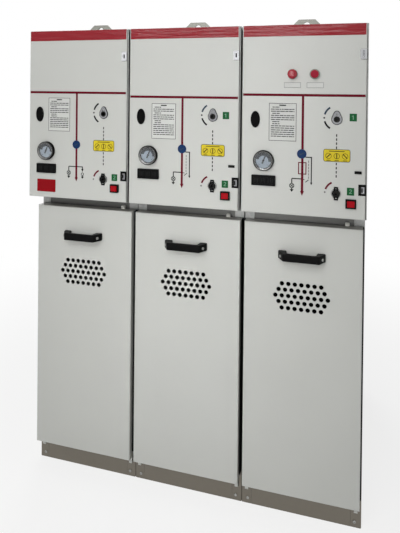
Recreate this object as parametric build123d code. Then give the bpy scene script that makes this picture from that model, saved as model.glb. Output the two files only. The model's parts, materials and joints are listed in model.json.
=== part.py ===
from build123d import *
import os

# Ring main unit: three sheet-steel switchgear cabinets bolted side by side.
# X runs across the front, Y from the upper front face to the back, Z up. Lengths are millimetres.
# The origin is moved at the end to the middle of the footprint, on the floor.

# Cabinets
bay_count = 3
bay_pitch = 375.0
cabinet_depth = 900.0
sheet = 2.0
inner_bend = 1.0
seat_gap = 0.5
hole_gap = 0.3
overrun = 5.0
quarter_turn = 90.0

# Side walls, with a return on all four edges
frame_set_back = 95.0
wall_flange = 32.0

# Roof, back covers and the channels that close the foot
roof_lip = 25.0
cover_gap = 2.0
kick_height = 100.0
kick_flange = 40.0
anchor_radius = 7.0
anchor_inset = 22.0
anchor_spacing = 220.0

# Cross rail behind the gap between the upper panel and the door
rail_gap = 42.0
rail_lap_below = 21.0
rail_lap_above = 12.0
rail_flange = 35.0

# Lifting lugs on the roof
lug_set_back = 175.0
lug_height = 40.0
lug_base_width = 86.0
lug_top_width = 54.0
lug_thickness = 6.0
lug_foot_depth = 40.0
lug_eye_radius = 10.0
lug_eye_height = 21.0
lug_corner = 4.0

# Upper front panel, with a coloured strip that is wrapped over its top fold
panel_height = 572.0
panel_side_gap = 5.0
strip_height = 34.0
strip_wrap = 15.0
strip_thickness = 0.5

# Door
door_set_back = 54.0
door_bottom = 83.0
door_height = 853.0
door_side_gap = 7.0
door_clearance = 5.0
door_lift = 25.0

# Hooks that hang the door in slots of the wall flanges
hook_inset = 17.0
hook_width = 11.0
hook_tongue_height = 8.0
hook_lip_drop = 10.0
hook_lip_gap = 2.0
hook_reach_below = 33.0
hook_reach_inside = 56.0
hook_seat = 0.3
slot_side_gap = 1.5
slot_head_room = 2.0
interlock_inset = 45.5
interlock_width = 10.5
interlock_rise = 5.0

# Vent holes in the door: staggered rows, the middle one the longest
vent_drop = 225.0
vent_rows = 5
vent_middle_count = 9
vent_pitch = 20.0
vent_row_pitch = 19.0
vent_radius = 7.0

# Bridge handle on the door
handle_drop = 95.0
handle_length = 144.0
handle_width = 24.0
handle_reach = 37.0
handle_bar = 12.0
handle_foot = 25.0
handle_heel = 7.0
handle_leg_run = 17.0
handle_corner = 5.0
handle_edge = 3.0

# Places of the fittings on the upper panel: columns are shares of its width, counted from its middle,
# and heights are shares of its height, counted from its bottom edge
gauge_column_share = -0.312
socket_column_share = 0.274
push_column_share = 0.389
oval_column_share = -0.386
lamp_column_share = -0.082
round_button_column_share = 0.097
key_slot_column_share = 0.442
oval_height_share = 0.500
gauge_height_share = 0.2815
indicator_height_share = 0.1757
disc_height_share = 0.3243
switch_height_share = 0.5087
earth_height_share = 0.1276
push_height_share = 0.0795
round_height_share = 0.7413
lock_low_share = 0.1521
lock_high_share = 0.8427
key_slot_height_share = 0.2404

# Oval sight window
oval_width = 28.0
oval_length = 51.0
oval_proud = 5.0
oval_neck_shrink = 4.0
oval_neck_depth = 10.0
oval_edge = 2.0

# Pressure gauge
gauge_radius = 31.0
gauge_proud = 11.0
gauge_body_radius = 27.0
gauge_body_depth = 32.0
gauge_lip = 3.0
gauge_dial_radius = 26.0
gauge_dial_depth = 7.0
gauge_dial_thickness = 1.0
gauge_glass_ledge = 1.2
gauge_glass_depth = 2.5
gauge_glass_thickness = 1.5
needle_hub_radius = 2.6
needle_hub_height = 1.6
needle_thickness = 0.6
needle_length = 15.0
needle_tail = 6.0
needle_width = 2.4
needle_turn = -32.0

# Voltage presence indicator
indicator_width = 73.0
indicator_tall = 32.0
indicator_proud = 6.0
indicator_corner = 2.0
indicator_neck_inset = 3.0
indicator_neck_depth = 25.0
indicator_cells = 3
indicator_cell_pitch = 22.0
indicator_cell_width = 18.0
indicator_cell_tall = 22.0
indicator_cell_depth = 1.0

# Switch position disc
disc_radius = 14.0
disc_proud = 2.0
disc_neck_radius = 11.0
disc_neck_depth = 6.0

# Operating sockets: switch above, earthing below
bezel_radius = 14.5
bezel_proud = 3.0
bezel_neck_radius = 13.0
bezel_neck_depth = 30.0
pear_top_radius = 8.0
pear_top_rise = 16.0
keyhole_radius = 2.5
keyhole_rise = 13.5
earth_key_width = 12.0
earth_key_length = 39.0
earth_notch_width = 5.0
earth_notch_length = 31.0
shaft_radius = 9.0
shaft_running_gap = 0.08
shaft_recess = 1.0
shaft_collar_radius = 13.0
shaft_collar_gap = 0.3
shaft_collar_thickness = 5.0
hex_sides = 6
hex_radius = 6.4
hex_depth = 15.0

# Square push button in its frame
push_frame_width = 30.0
push_frame_tall = 27.0
push_frame_proud = 7.0
push_frame_wall = 4.5
push_frame_corner = 1.5
push_neck_inset = 2.0
push_neck_depth = 20.0
push_proud = 3.0
push_gap = 0.3
push_stop_lap = 1.5
push_stop_thickness = 3.0

# Round lamp and round push button of the last bay
ring_radius = 15.0
ring_proud = 8.0
ring_floor = 1.5
ring_bore_radius = 12.2
ring_edge = 1.5
ring_neck_radius = 11.0
ring_neck_depth = 20.0
stem_radius = 7.0
stem_gap = 0.3
cap_gap = 0.3
cap_proud = 6.0
cap_travel_room = 4.5
stem_stop_radius = 9.5
stem_stop_thickness = 3.0
lamp_ring_proud = 4.0
lens_radius = 14.5
lens_proud = 14.0
lens_dome = 9.0

# Square panel locks
lock_edge_gap = 0.5
lock_width = 18.0
lock_tall = 29.0
lock_proud = 3.5
lock_corner = 2.0
lock_neck_radius = 7.0
lock_neck_depth = 18.0
lock_plug_radius = 6.5
lock_plug_depth = 1.0
lock_key_width = 2.2
lock_key_length = 9.0
lock_key_depth = 3.0

# Interlock key slot of the second and third bays
key_slot_width = 20.0
key_slot_tall = 8.0
key_slot_proud = 2.5
key_slot_corner = 1.0
key_slot_neck_inset = 1.5
key_slot_neck_depth = 8.0
key_slot_opening_width = 13.0
key_slot_opening_tall = 2.5
key_slot_opening_depth = 6.0

# Values that follow from those above
bays = range(bay_count)
half_pitch = bay_pitch / 2
bend = sheet + inner_bend
door_top = door_bottom + door_height
panel_bottom = door_top + rail_gap
cabinet_height = panel_bottom + panel_height
wall_back = cabinet_depth - sheet
wall_top = cabinet_height - sheet
rail_bottom = door_top - rail_lap_below
rail_top = panel_bottom + rail_lap_above
cover_split_height = (door_top + panel_bottom) / 2
panel_width = bay_pitch - 2 * panel_side_gap
panel_half = panel_width / 2
door_half = half_pitch - door_side_gap
door_back = frame_set_back - door_clearance
hook_column = half_pitch - hook_inset
hook_low = door_bottom - hook_reach_below
hook_high = door_top - hook_reach_inside
interlock_offset = door_half - interlock_inset
vent_height = door_top - vent_drop
handle_height = door_top - handle_drop
gauge_column = gauge_column_share * panel_width
socket_column = socket_column_share * panel_width
push_column = push_column_share * panel_width
oval_column = oval_column_share * panel_width
lamp_column = lamp_column_share * panel_width
round_button_column = round_button_column_share * panel_width
key_slot_column = key_slot_column_share * panel_width
lock_column = panel_half - lock_edge_gap - lock_width / 2
oval_height = panel_bottom + oval_height_share * panel_height
gauge_height = panel_bottom + gauge_height_share * panel_height
indicator_height = panel_bottom + indicator_height_share * panel_height
disc_height = panel_bottom + disc_height_share * panel_height
switch_height = panel_bottom + switch_height_share * panel_height
earth_height = panel_bottom + earth_height_share * panel_height
push_height = panel_bottom + push_height_share * panel_height
round_height = panel_bottom + round_height_share * panel_height
lock_low = panel_bottom + lock_low_share * panel_height
lock_high = panel_bottom + lock_high_share * panel_height
key_slot_height = panel_bottom + key_slot_height_share * panel_height
round_button_front = ring_proud + cap_proud
lens_front = lamp_ring_proud + lens_proud
front_reach = max(lens_front, round_button_front)
middle_depth = (cabinet_depth - front_reach) / 2


def bay_middle(bay):
    """X of the middle of a bay, counted from the left."""
    return (bay - (bay_count - 1) / 2) * bay_pitch


def block(x_span, y_span, z_span):
    """A block between two places on each axis."""
    spans = (x_span, y_span, z_span)
    sizes = [high - low for low, high in spans]
    middles = [(low + high) / 2 for low, high in spans]
    return Pos(*middles) * Box(*sizes)


def raised(outline, x, z, back, front):
    """An outline in front view, drawn round x and z and made solid from depth back to depth front."""
    face = Plane(origin=(x, back, z), x_dir=(1, 0, 0), z_dir=(0, -1, 0)) * outline
    return extrude(face, amount=back - front)


def folded_tray(x_span, y_span, z_span):
    """A folded sheet with a flat front and four returns, open at the back."""
    outer = block(x_span, y_span, z_span)
    fold_edges = outer.faces().sort_by(Axis.Y)[0].edges()
    outer = fillet(fold_edges, bend)
    inner = block(
        (x_span[0] + sheet, x_span[1] - sheet),
        (y_span[0] + sheet, y_span[1] + overrun),
        (z_span[0] + sheet, z_span[1] - sheet),
    )
    fold_edges = inner.faces().sort_by(Axis.Y)[0].edges()
    return outer - fillet(fold_edges, inner_bend)


def channel(x_span, y_span, z_span, opens_back):
    """A folded channel that runs across the bay, with its web in front or at the back."""
    outer = block(x_span, y_span, z_span)
    hollow_back = y_span[1] + overrun if opens_back else y_span[1] - sheet
    hollow_front = y_span[0] + sheet if opens_back else y_span[0] - overrun
    hollow = block(
        (x_span[0] - overrun, x_span[1] + overrun),
        (hollow_front, hollow_back),
        (z_span[0] + sheet, z_span[1] - sheet),
    )
    return outer - hollow


def hook_slot(x, low):
    """The slot in a wall flange that takes one hook and leaves room for the lift."""
    half = hook_width / 2 + slot_side_gap
    top = low + hook_tongue_height + door_lift + slot_head_room
    depth_span = (frame_set_back - overrun, frame_set_back + sheet + overrun)
    return block((x - half, x + half), depth_span, (low - hook_seat, top))


def side_wall(bay, side):
    """One wall of a bay: a sheet with four returns turned inwards; side is -1 for left and 1 for right."""
    outside = bay_middle(bay) + side * half_pitch
    inside = outside - side * wall_flange
    depth_span = sorted((side * frame_set_back, side * wall_back))
    wall = folded_tray(depth_span, (-side * outside, -side * inside), (0, wall_top))
    wall = Rot(0, 0, side * quarter_turn) * wall
    hook_x = bay_middle(bay) + side * hook_column
    for low in (hook_low, hook_high):
        wall -= hook_slot(hook_x, low)
    return wall


def roof_panel(bay):
    """The roof sheet of a bay, with a lip turned down over the back."""
    half = half_pitch - seat_gap
    x_span = (bay_middle(bay) - half, bay_middle(bay) + half)
    top = block(x_span, (frame_set_back, cabinet_depth), (wall_top, cabinet_height))
    lip = block(x_span, (wall_back, cabinet_depth), (cabinet_height - roof_lip, cabinet_height))
    return top + lip


def back_covers(bay):
    """The lower and upper cover sheets of a bay's back."""
    half = half_pitch - seat_gap
    x_span = (bay_middle(bay) - half, bay_middle(bay) + half)
    y_span = (wall_back, cabinet_depth)
    lower = block(x_span, y_span, (kick_height + seat_gap, cover_split_height))
    upper_top = cabinet_height - roof_lip - seat_gap
    upper = block(x_span, y_span, (cover_split_height + cover_gap, upper_top))
    return [lower, upper]


def foot_channel(bay, front):
    """The channel that closes the foot of a bay, at the front or at the back, with two anchor holes."""
    half = half_pitch - wall_flange - seat_gap
    x_span = (bay_middle(bay) - half, bay_middle(bay) + half)
    if front:
        y_span = (frame_set_back, frame_set_back + kick_flange)
        hole_depth = frame_set_back + anchor_inset
    else:
        y_span = (wall_back - kick_flange, wall_back)
        hole_depth = wall_back - anchor_inset
    foot = channel(x_span, y_span, (0, kick_height), opens_back=front)
    for side in (-1, 1):
        place = Pos(bay_middle(bay) + side * anchor_spacing / 2, hole_depth, 0)
        foot -= place * Cylinder(anchor_radius, sheet + overrun)
    return foot


def cross_rail(bay):
    """The rail across a bay, behind the gap over the door."""
    half = half_pitch - bend - seat_gap
    x_span = (bay_middle(bay) - half, bay_middle(bay) + half)
    front = frame_set_back + sheet
    return channel(x_span, (front, front + rail_flange), (rail_bottom, rail_top), opens_back=True)


def lifting_lug(bay, depth, foot_side):
    """A folded lug: an upright with cut corners and an eye, and a foot that lies on the roof."""
    x = bay_middle(bay)
    base = lug_base_width / 2
    top = lug_top_width / 2
    shoulder = lug_height - (base - top)
    right = [(base, 0), (base, shoulder), (top, lug_height)]
    left = [(-place, rise) for place, rise in reversed(right)]
    outline = Polygon(*right, *left, align=None)
    outline = fillet(outline.vertices().group_by(Axis.Y)[-1], lug_corner)
    outline -= Pos(0, lug_eye_height) * Circle(lug_eye_radius)
    upright = raised(outline, x, cabinet_height, depth + lug_thickness / 2, depth - lug_thickness / 2)
    foot_span = sorted((depth - foot_side * lug_thickness / 2, depth + foot_side * lug_foot_depth))
    foot = block((x - base, x + base), foot_span, (cabinet_height, cabinet_height + lug_thickness))
    toes = foot.edges().filter_by(Axis.Z).sort_by(lambda edge: foot_side * edge.center().Y)[-2:]
    return upright + fillet(toes, lug_corner)


def pear_outline(lower_radius, upper_radius, rise):
    """Two circles, one above the other, joined by their tangents."""
    lower = Circle(lower_radius)
    upper = Pos(0, rise) * Circle(upper_radius)
    return make_hull(lower.edges() + upper.edges())


def earth_outline(radius, key_width, key_length):
    """A circle with a key at its top and bottom."""
    return Circle(radius) + Rectangle(key_width, key_length)


def panel_holes(bay):
    """The holes in a bay's upper panel: outline, place across the bay and height."""
    holes = [
        (oval_neck(hole_gap), oval_column, oval_height),
        (Circle(gauge_body_radius + hole_gap), gauge_column, gauge_height),
        (indicator_neck(hole_gap), gauge_column, indicator_height),
        (Circle(disc_neck_radius + hole_gap), 0, disc_height),
        (Circle(bezel_neck_radius + hole_gap), socket_column, switch_height),
        (Circle(bezel_neck_radius + hole_gap), socket_column, earth_height),
        (push_neck(hole_gap), push_column, push_height),
        (Circle(lock_neck_radius + hole_gap), lock_column, lock_high),
        (Circle(lock_neck_radius + hole_gap), lock_column, lock_low),
    ]
    if bay > 0:
        holes.append((key_slot_neck(hole_gap), key_slot_column, key_slot_height))
    if bay == bay_count - 1:
        holes.append((Circle(ring_neck_radius + hole_gap), lamp_column, round_height))
        holes.append((Circle(ring_neck_radius + hole_gap), round_button_column, round_height))
    return holes


def front_panel(bay):
    """The upper front panel of a bay: a deep folded tray, cut for its fittings."""
    x = bay_middle(bay)
    x_span = (x - panel_half, x + panel_half)
    panel = folded_tray(x_span, (0, frame_set_back), (panel_bottom, cabinet_height))
    for outline, column, height in panel_holes(bay):
        panel -= raised(outline, x + column, height, sheet + inner_bend, -overrun)
    return panel


def front_top_edge(solid):
    """The long edge of a block at the top of its front."""
    return solid.faces().sort_by(Axis.Y)[0].edges().sort_by(Axis.Z)[-1]


def header_strip(bay):
    """The coloured strip along the top of a panel, wrapped over the fold."""
    half = panel_half - bend
    x_span = (bay_middle(bay) - half, bay_middle(bay) + half)
    low = cabinet_height - strip_height
    strip = block(x_span, (-strip_thickness, strip_wrap), (low, cabinet_height + strip_thickness))
    strip = fillet(front_top_edge(strip), bend + strip_thickness)
    inside = block(x_span, (0, strip_wrap), (low, cabinet_height))
    return strip - fillet(front_top_edge(inside), bend)


def oval_neck(margin):
    """Outline of the sight window's neck, made larger all round by a margin."""
    half_width = (oval_width - oval_neck_shrink) / 2 + margin
    half_length = (oval_length - oval_neck_shrink) / 2 + margin
    return Ellipse(half_width, half_length)


def oval_window(bay):
    """A domed oval plug over the sight hole."""
    x = bay_middle(bay) + oval_column
    cover = raised(Ellipse(oval_width / 2, oval_length / 2), x, oval_height, 0, -oval_proud)
    cover = fillet(cover.faces().sort_by(Axis.Y)[0].edges(), oval_edge)
    return cover + raised(oval_neck(0), x, oval_height, oval_neck_depth, 0)


def gauge_case(bay):
    """The gauge's case: a rounded bezel, a recess for dial and glass, and a body behind the panel."""
    x = bay_middle(bay) + gauge_column
    bezel = raised(Circle(gauge_radius), x, gauge_height, 0, -gauge_proud)
    bezel = fillet(bezel.faces().sort_by(Axis.Y)[0].edges(), gauge_lip)
    case = bezel + raised(Circle(gauge_body_radius), x, gauge_height, gauge_body_depth, 0)
    floor = gauge_dial_depth - gauge_proud
    ledge = gauge_glass_depth - gauge_proud
    case -= raised(Circle(gauge_dial_radius), x, gauge_height, floor, -gauge_proud - overrun)
    glass_radius = gauge_dial_radius + gauge_glass_ledge
    return case - raised(Circle(glass_radius), x, gauge_height, ledge, -gauge_proud - overrun)


def gauge_dial(bay):
    """The dial on the floor of the case."""
    x = bay_middle(bay) + gauge_column
    floor = gauge_dial_depth - gauge_proud
    outline = Circle(gauge_dial_radius - seat_gap)
    return raised(outline, x, gauge_height, floor, floor - gauge_dial_thickness)


def gauge_needle(bay):
    """The needle: a hub on the dial and a tapered pointer with a tail."""
    x = bay_middle(bay) + gauge_column
    base = gauge_dial_depth - gauge_proud - gauge_dial_thickness
    hub = raised(Circle(needle_hub_radius), x, gauge_height, base, base - needle_hub_height)
    half = needle_width / 2
    pointer = Polygon((-half, -needle_tail), (half, -needle_tail), (0, needle_length), align=None)
    pointer = Rot(0, 0, needle_turn) * pointer
    back = base - (needle_hub_height - needle_thickness) / 2
    return hub + raised(pointer, x, gauge_height, back, back - needle_thickness)


def gauge_glass(bay):
    """The glass on its ledge in the bezel."""
    x = bay_middle(bay) + gauge_column
    ledge = gauge_glass_depth - gauge_proud
    outline = Circle(gauge_dial_radius + gauge_glass_ledge - seat_gap)
    return raised(outline, x, gauge_height, ledge, ledge - gauge_glass_thickness)


def indicator_neck(margin):
    """Outline of the indicator behind the panel, made larger all round by a margin."""
    inset = 2 * (indicator_neck_inset - margin)
    return Rectangle(indicator_width - inset, indicator_tall - inset)


def voltage_indicator(bay):
    """A black indicator with one sunk cell for each phase."""
    x = bay_middle(bay) + gauge_column
    outline = RectangleRounded(indicator_width, indicator_tall, indicator_corner)
    unit = raised(outline, x, indicator_height, 0, -indicator_proud)
    unit += raised(indicator_neck(0), x, indicator_height, indicator_neck_depth, 0)
    cell = Rectangle(indicator_cell_width, indicator_cell_tall)
    for index in range(indicator_cells):
        cell_x = x + (index - (indicator_cells - 1) / 2) * indicator_cell_pitch
        floor = indicator_cell_depth - indicator_proud
        unit -= raised(cell, cell_x, indicator_height, floor, -indicator_proud - overrun)
    return unit


def position_disc(bay):
    """The round disc that shows the switch position."""
    x = bay_middle(bay)
    disc = raised(Circle(disc_radius), x, disc_height, 0, -disc_proud)
    return disc + raised(Circle(disc_neck_radius), x, disc_height, disc_neck_depth, 0)


def bearing(outline, opening, x, z):
    """A bezel on the panel with a bearing sleeve behind it for an operating shaft."""
    bezel = raised(outline, x, z, 0, -bezel_proud)
    bezel += raised(Circle(bezel_neck_radius), x, z, bezel_neck_depth, 0)
    bezel -= raised(opening, x, z, 0, -bezel_proud - overrun)
    bore = Circle(shaft_radius + shaft_running_gap)
    return bezel - raised(bore, x, z, bezel_neck_depth + overrun, -bezel_proud - overrun)


def switch_bezel(bay):
    """The pear-shaped bezel of the switch socket, open like a keyhole."""
    bore = shaft_radius + shaft_running_gap
    outline = pear_outline(bezel_radius, pear_top_radius, pear_top_rise)
    opening = pear_outline(bore, keyhole_radius, keyhole_rise)
    return bearing(outline, opening, bay_middle(bay) + socket_column, switch_height)


def earth_bezel(bay):
    """The keyed round bezel of the earthing socket."""
    bore = shaft_radius + shaft_running_gap
    outline = earth_outline(bezel_radius, earth_key_width, earth_key_length)
    opening = earth_outline(bore, earth_notch_width, earth_notch_length)
    return bearing(outline, opening, bay_middle(bay) + socket_column, earth_height)


def operating_shaft(bay, height):
    """A shaft with a hexagon socket for the lever, held by a collar behind its sleeve."""
    x = bay_middle(bay) + socket_column
    front = shaft_recess - bezel_proud
    collar_front = bezel_neck_depth + shaft_collar_gap
    collar_back = collar_front + shaft_collar_thickness
    shaft = raised(Circle(shaft_radius), x, height, collar_back, front)
    shaft += raised(Circle(shaft_collar_radius), x, height, collar_back, collar_front)
    hexagon = RegularPolygon(hex_radius, hex_sides)
    return shaft - raised(hexagon, x, height, front + hex_depth, front - overrun)


def push_neck(margin):
    """Outline of the square button's frame behind the panel, made larger all round by a margin."""
    inset = 2 * (push_neck_inset - margin)
    return Rectangle(push_frame_width - inset, push_frame_tall - inset)


def push_opening(margin):
    """The opening in the frame, made smaller all round by a margin."""
    inset = 2 * (push_frame_wall + margin)
    return Rectangle(push_frame_width - inset, push_frame_tall - inset)


def push_frame(bay):
    """The square frame that guides a push button."""
    x = bay_middle(bay) + push_column
    outline = RectangleRounded(push_frame_width, push_frame_tall, push_frame_corner)
    frame = raised(outline, x, push_height, 0, -push_frame_proud)
    frame += raised(push_neck(0), x, push_height, push_neck_depth, 0)
    past_back = push_neck_depth + overrun
    return frame - raised(push_opening(0), x, push_height, past_back, -push_frame_proud - overrun)


def push_button(bay):
    """The square button, with a stop behind the frame that keeps it in."""
    x = bay_middle(bay) + push_column
    stop_front = push_neck_depth + push_gap
    stop_back = stop_front + push_stop_thickness
    button = raised(push_opening(push_gap), x, push_height, stop_back, -push_frame_proud - push_proud)
    return button + raised(push_opening(-push_stop_lap), x, push_height, stop_back, stop_front)


def round_ring(column, proud):
    """The ring of a lamp or round button, with its neck behind the panel."""
    x = bay_middle(bay_count - 1) + column
    ring = raised(Circle(ring_radius), x, round_height, 0, -proud)
    ring = fillet(ring.faces().sort_by(Axis.Y)[0].edges(), ring_edge)
    ring -= raised(Circle(ring_bore_radius), x, round_height, -ring_floor, -proud - overrun)
    neck = raised(Circle(ring_neck_radius), x, round_height, ring_neck_depth, 0)
    bore = Circle(stem_radius + stem_gap)
    return ring + neck - raised(bore, x, round_height, ring_neck_depth + overrun, -proud)


def pilot_lamp():
    """The domed lens on its low ring, with a plug in the ring and a stem down the neck."""
    x = bay_middle(bay_count - 1) + lamp_column
    lens = raised(Circle(lens_radius), x, round_height, -lamp_ring_proud, -lens_front)
    lens = fillet(lens.faces().sort_by(Axis.Y)[0].edges(), lens_dome)
    lens += raised(Circle(ring_bore_radius - cap_gap), x, round_height, -ring_floor, -lamp_ring_proud)
    return lens + raised(Circle(stem_radius), x, round_height, ring_neck_depth, -ring_floor)


def round_button():
    """The round button: a cap in the ring, a stem down the neck and a stop behind it."""
    x = bay_middle(bay_count - 1) + round_button_column
    cap_back = -ring_floor - cap_travel_room
    stop_front = ring_neck_depth + stem_gap
    stop_back = stop_front + stem_stop_thickness
    button = raised(Circle(ring_bore_radius - cap_gap), x, round_height, cap_back, -round_button_front)
    button = fillet(button.faces().sort_by(Axis.Y)[0].edges(), ring_edge)
    button += raised(Circle(stem_radius), x, round_height, stop_back, cap_back)
    return button + raised(Circle(stem_stop_radius), x, round_height, stop_back, stop_front)


def panel_lock(bay, height):
    """A square panel lock with a round plug and a key slit."""
    x = bay_middle(bay) + lock_column
    body = raised(RectangleRounded(lock_width, lock_tall, lock_corner), x, height, 0, -lock_proud)
    body += raised(Circle(lock_neck_radius), x, height, lock_neck_depth, 0)
    floor = lock_plug_depth - lock_proud
    body -= raised(Circle(lock_plug_radius), x, height, floor, -lock_proud - overrun)
    slit = Rectangle(lock_key_width, lock_key_length)
    return body - raised(slit, x, height, floor + lock_key_depth, floor)


def key_slot_neck(margin):
    """Outline of the key slot's body behind the panel, made larger all round by a margin."""
    inset = 2 * (key_slot_neck_inset - margin)
    return Rectangle(key_slot_width - inset, key_slot_tall - inset)


def key_slot(bay):
    """A small black insert with a slit for the interlock key."""
    x = bay_middle(bay) + key_slot_column
    outline = RectangleRounded(key_slot_width, key_slot_tall, key_slot_corner)
    insert = raised(outline, x, key_slot_height, 0, -key_slot_proud)
    insert += raised(key_slot_neck(0), x, key_slot_height, key_slot_neck_depth, 0)
    slit = Rectangle(key_slot_opening_width, key_slot_opening_tall)
    floor = key_slot_opening_depth - key_slot_proud
    return insert - raised(slit, x, key_slot_height, floor, -key_slot_proud - overrun)


def door_hook(x, low, carrier):
    """A hook of the door: a strip from the return that carries it, a tongue and a lip behind the flange."""
    x_span = (x - hook_width / 2, x + hook_width / 2)
    top = low + hook_tongue_height
    lip_front = frame_set_back + sheet + hook_lip_gap
    lip_back = lip_front + sheet
    strip = block(x_span, (door_back - sheet, door_back), (low, carrier))
    tongue = block(x_span, (door_back - sheet, lip_back), (low, top))
    lip = block(x_span, (lip_front, lip_back), (low - hook_lip_drop, top))
    return strip + tongue + lip


def vent_places(x):
    """The middles of a door's vent holes: each row has one hole fewer than the row nearer the middle."""
    places = []
    for row in range(vent_rows):
        step = row - (vent_rows - 1) / 2
        count = vent_middle_count - round(abs(step))
        for index in range(count):
            hole_x = x + (index - (count - 1) / 2) * vent_pitch
            places.append((hole_x, vent_height + step * vent_row_pitch))
    return places


def door(bay):
    """A lift-off door: a folded tray with vent holes, four hooks and an interlock tongue."""
    x = bay_middle(bay)
    x_span = (x - door_half, x + door_half)
    leaf = folded_tray(x_span, (door_set_back, door_back), (door_bottom, door_top))
    past_sheet = door_set_back + bend
    for hole_x, hole_z in vent_places(x):
        leaf -= raised(Circle(vent_radius), hole_x, hole_z, past_sheet, door_set_back - overrun)
    for side in (-1, 1):
        leaf += door_hook(x + side * hook_column, hook_low, door_bottom + sheet)
        leaf += door_hook(x + side * hook_column, hook_high, door_top - sheet)
    tongue_x = x + interlock_offset
    tongue_span = (tongue_x - interlock_width / 2, tongue_x + interlock_width / 2)
    tongue_rise = (door_top - sheet, door_top + interlock_rise)
    return leaf + block(tongue_span, (door_back - sheet, door_back), tongue_rise)


def handle(bay):
    """A bridge handle: two feet on the door and a bar between tapered legs."""
    half = handle_length / 2
    crown = half - handle_leg_run
    inner_foot = half - handle_foot
    inner_crown = crown - handle_bar
    under_bar = handle_reach - handle_bar
    foot = [(inner_crown, under_bar), (inner_foot, 0), (half, 0)]
    right = foot + [(half, handle_heel), (crown, handle_reach)]
    left = [(-x, reach) for x, reach in reversed(right)]
    outline = Polygon(*right, *left, align=None)
    corners = [corner for corner in outline.vertices() if corner.Y > 0]
    outline = fillet(corners, handle_corner)
    low = handle_height - handle_width / 2
    on_door = Pos(bay_middle(bay), door_set_back, low)
    bridge = extrude(on_door * mirror(outline, Plane.XZ), amount=handle_width, dir=(0, 0, 1))
    sides = bridge.faces().filter_by(Axis.Z)
    rims = [edge for edge in sides.edges() if edge.center().Y < door_set_back - seat_gap]
    return fillet(rims, handle_edge)


def export_node(name, shapes):
    """Moves a node's solids to the part's own origin and writes them to one file."""
    solids = [Pos(0, -middle_depth, 0) * solid for shape in shapes for solid in shape.solids()]
    export_step(Compound(children=solids), f"parts/{name}.step")


os.makedirs("parts", exist_ok=True)

for bay in bays:
    export_node(f"bay_{bay + 1}_side_walls", [side_wall(bay, -1), side_wall(bay, 1)])
    export_node(f"bay_{bay + 1}_front_panel", [front_panel(bay)])
    export_node(f"door_{bay + 1}", [door(bay)])
    export_node(f"handle_{bay + 1}", [handle(bay)])
    export_node(f"switch_shaft_{bay + 1}", [operating_shaft(bay, switch_height)])
    export_node(f"earth_shaft_{bay + 1}", [operating_shaft(bay, earth_height)])
    export_node(f"push_button_{bay + 1}", [push_button(bay)])

rear_lug_depth = frame_set_back + cabinet_depth - lug_set_back
front_lugs = [lifting_lug(bay, lug_set_back, 1) for bay in bays]
rear_lugs = [lifting_lug(bay, rear_lug_depth, -1) for bay in bays]

export_node("roof_panels", [roof_panel(bay) for bay in bays])
export_node("back_covers", [cover for bay in bays for cover in back_covers(bay)])
export_node("kick_channels", [foot_channel(bay, front=True) for bay in bays])
export_node("rear_channels", [foot_channel(bay, front=False) for bay in bays])
export_node("cross_rails", [cross_rail(bay) for bay in bays])
export_node("lifting_lugs", front_lugs + rear_lugs)
export_node("header_strips", [header_strip(bay) for bay in bays])
export_node("oval_windows", [oval_window(bay) for bay in bays])
export_node("gauge_cases", [gauge_case(bay) for bay in bays])
export_node("gauge_dials", [gauge_dial(bay) for bay in bays])
export_node("gauge_needles", [gauge_needle(bay) for bay in bays])
export_node("gauge_glasses", [gauge_glass(bay) for bay in bays])
export_node("voltage_indicators", [voltage_indicator(bay) for bay in bays])
export_node("position_discs", [position_disc(bay) for bay in bays])
export_node("switch_bezels", [switch_bezel(bay) for bay in bays])
export_node("earth_bezels", [earth_bezel(bay) for bay in bays])
export_node("push_frames", [push_frame(bay) for bay in bays])
lamp_ring = round_ring(lamp_column, lamp_ring_proud)
button_ring = round_ring(round_button_column, ring_proud)
export_node("round_rings", [lamp_ring, button_ring])
export_node("pilot_lamp", [pilot_lamp()])
export_node("round_button", [round_button()])
export_node("panel_locks", [panel_lock(bay, height) for bay in bays for height in (lock_high, lock_low)])
export_node("key_slots", [key_slot(bay) for bay in bays if bay > 0])
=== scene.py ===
# %% [markdown]
# # Dressing a ring main unit
#
# The object is a row of three steel switchgear cabinets. Every folded sheet, socket and button is already a
# CAD solid, so Blender's work is what CAD leaves out: paint, metal and plastic that look like themselves, the
# printed diagram on the upper panels, small plates, and screws.
#
# The CAD model is loaded first, as a fixed frame.

# %% Load the frame
import json
import math
import random

import bmesh
import bpy
from mathutils import Matrix, Vector


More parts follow.
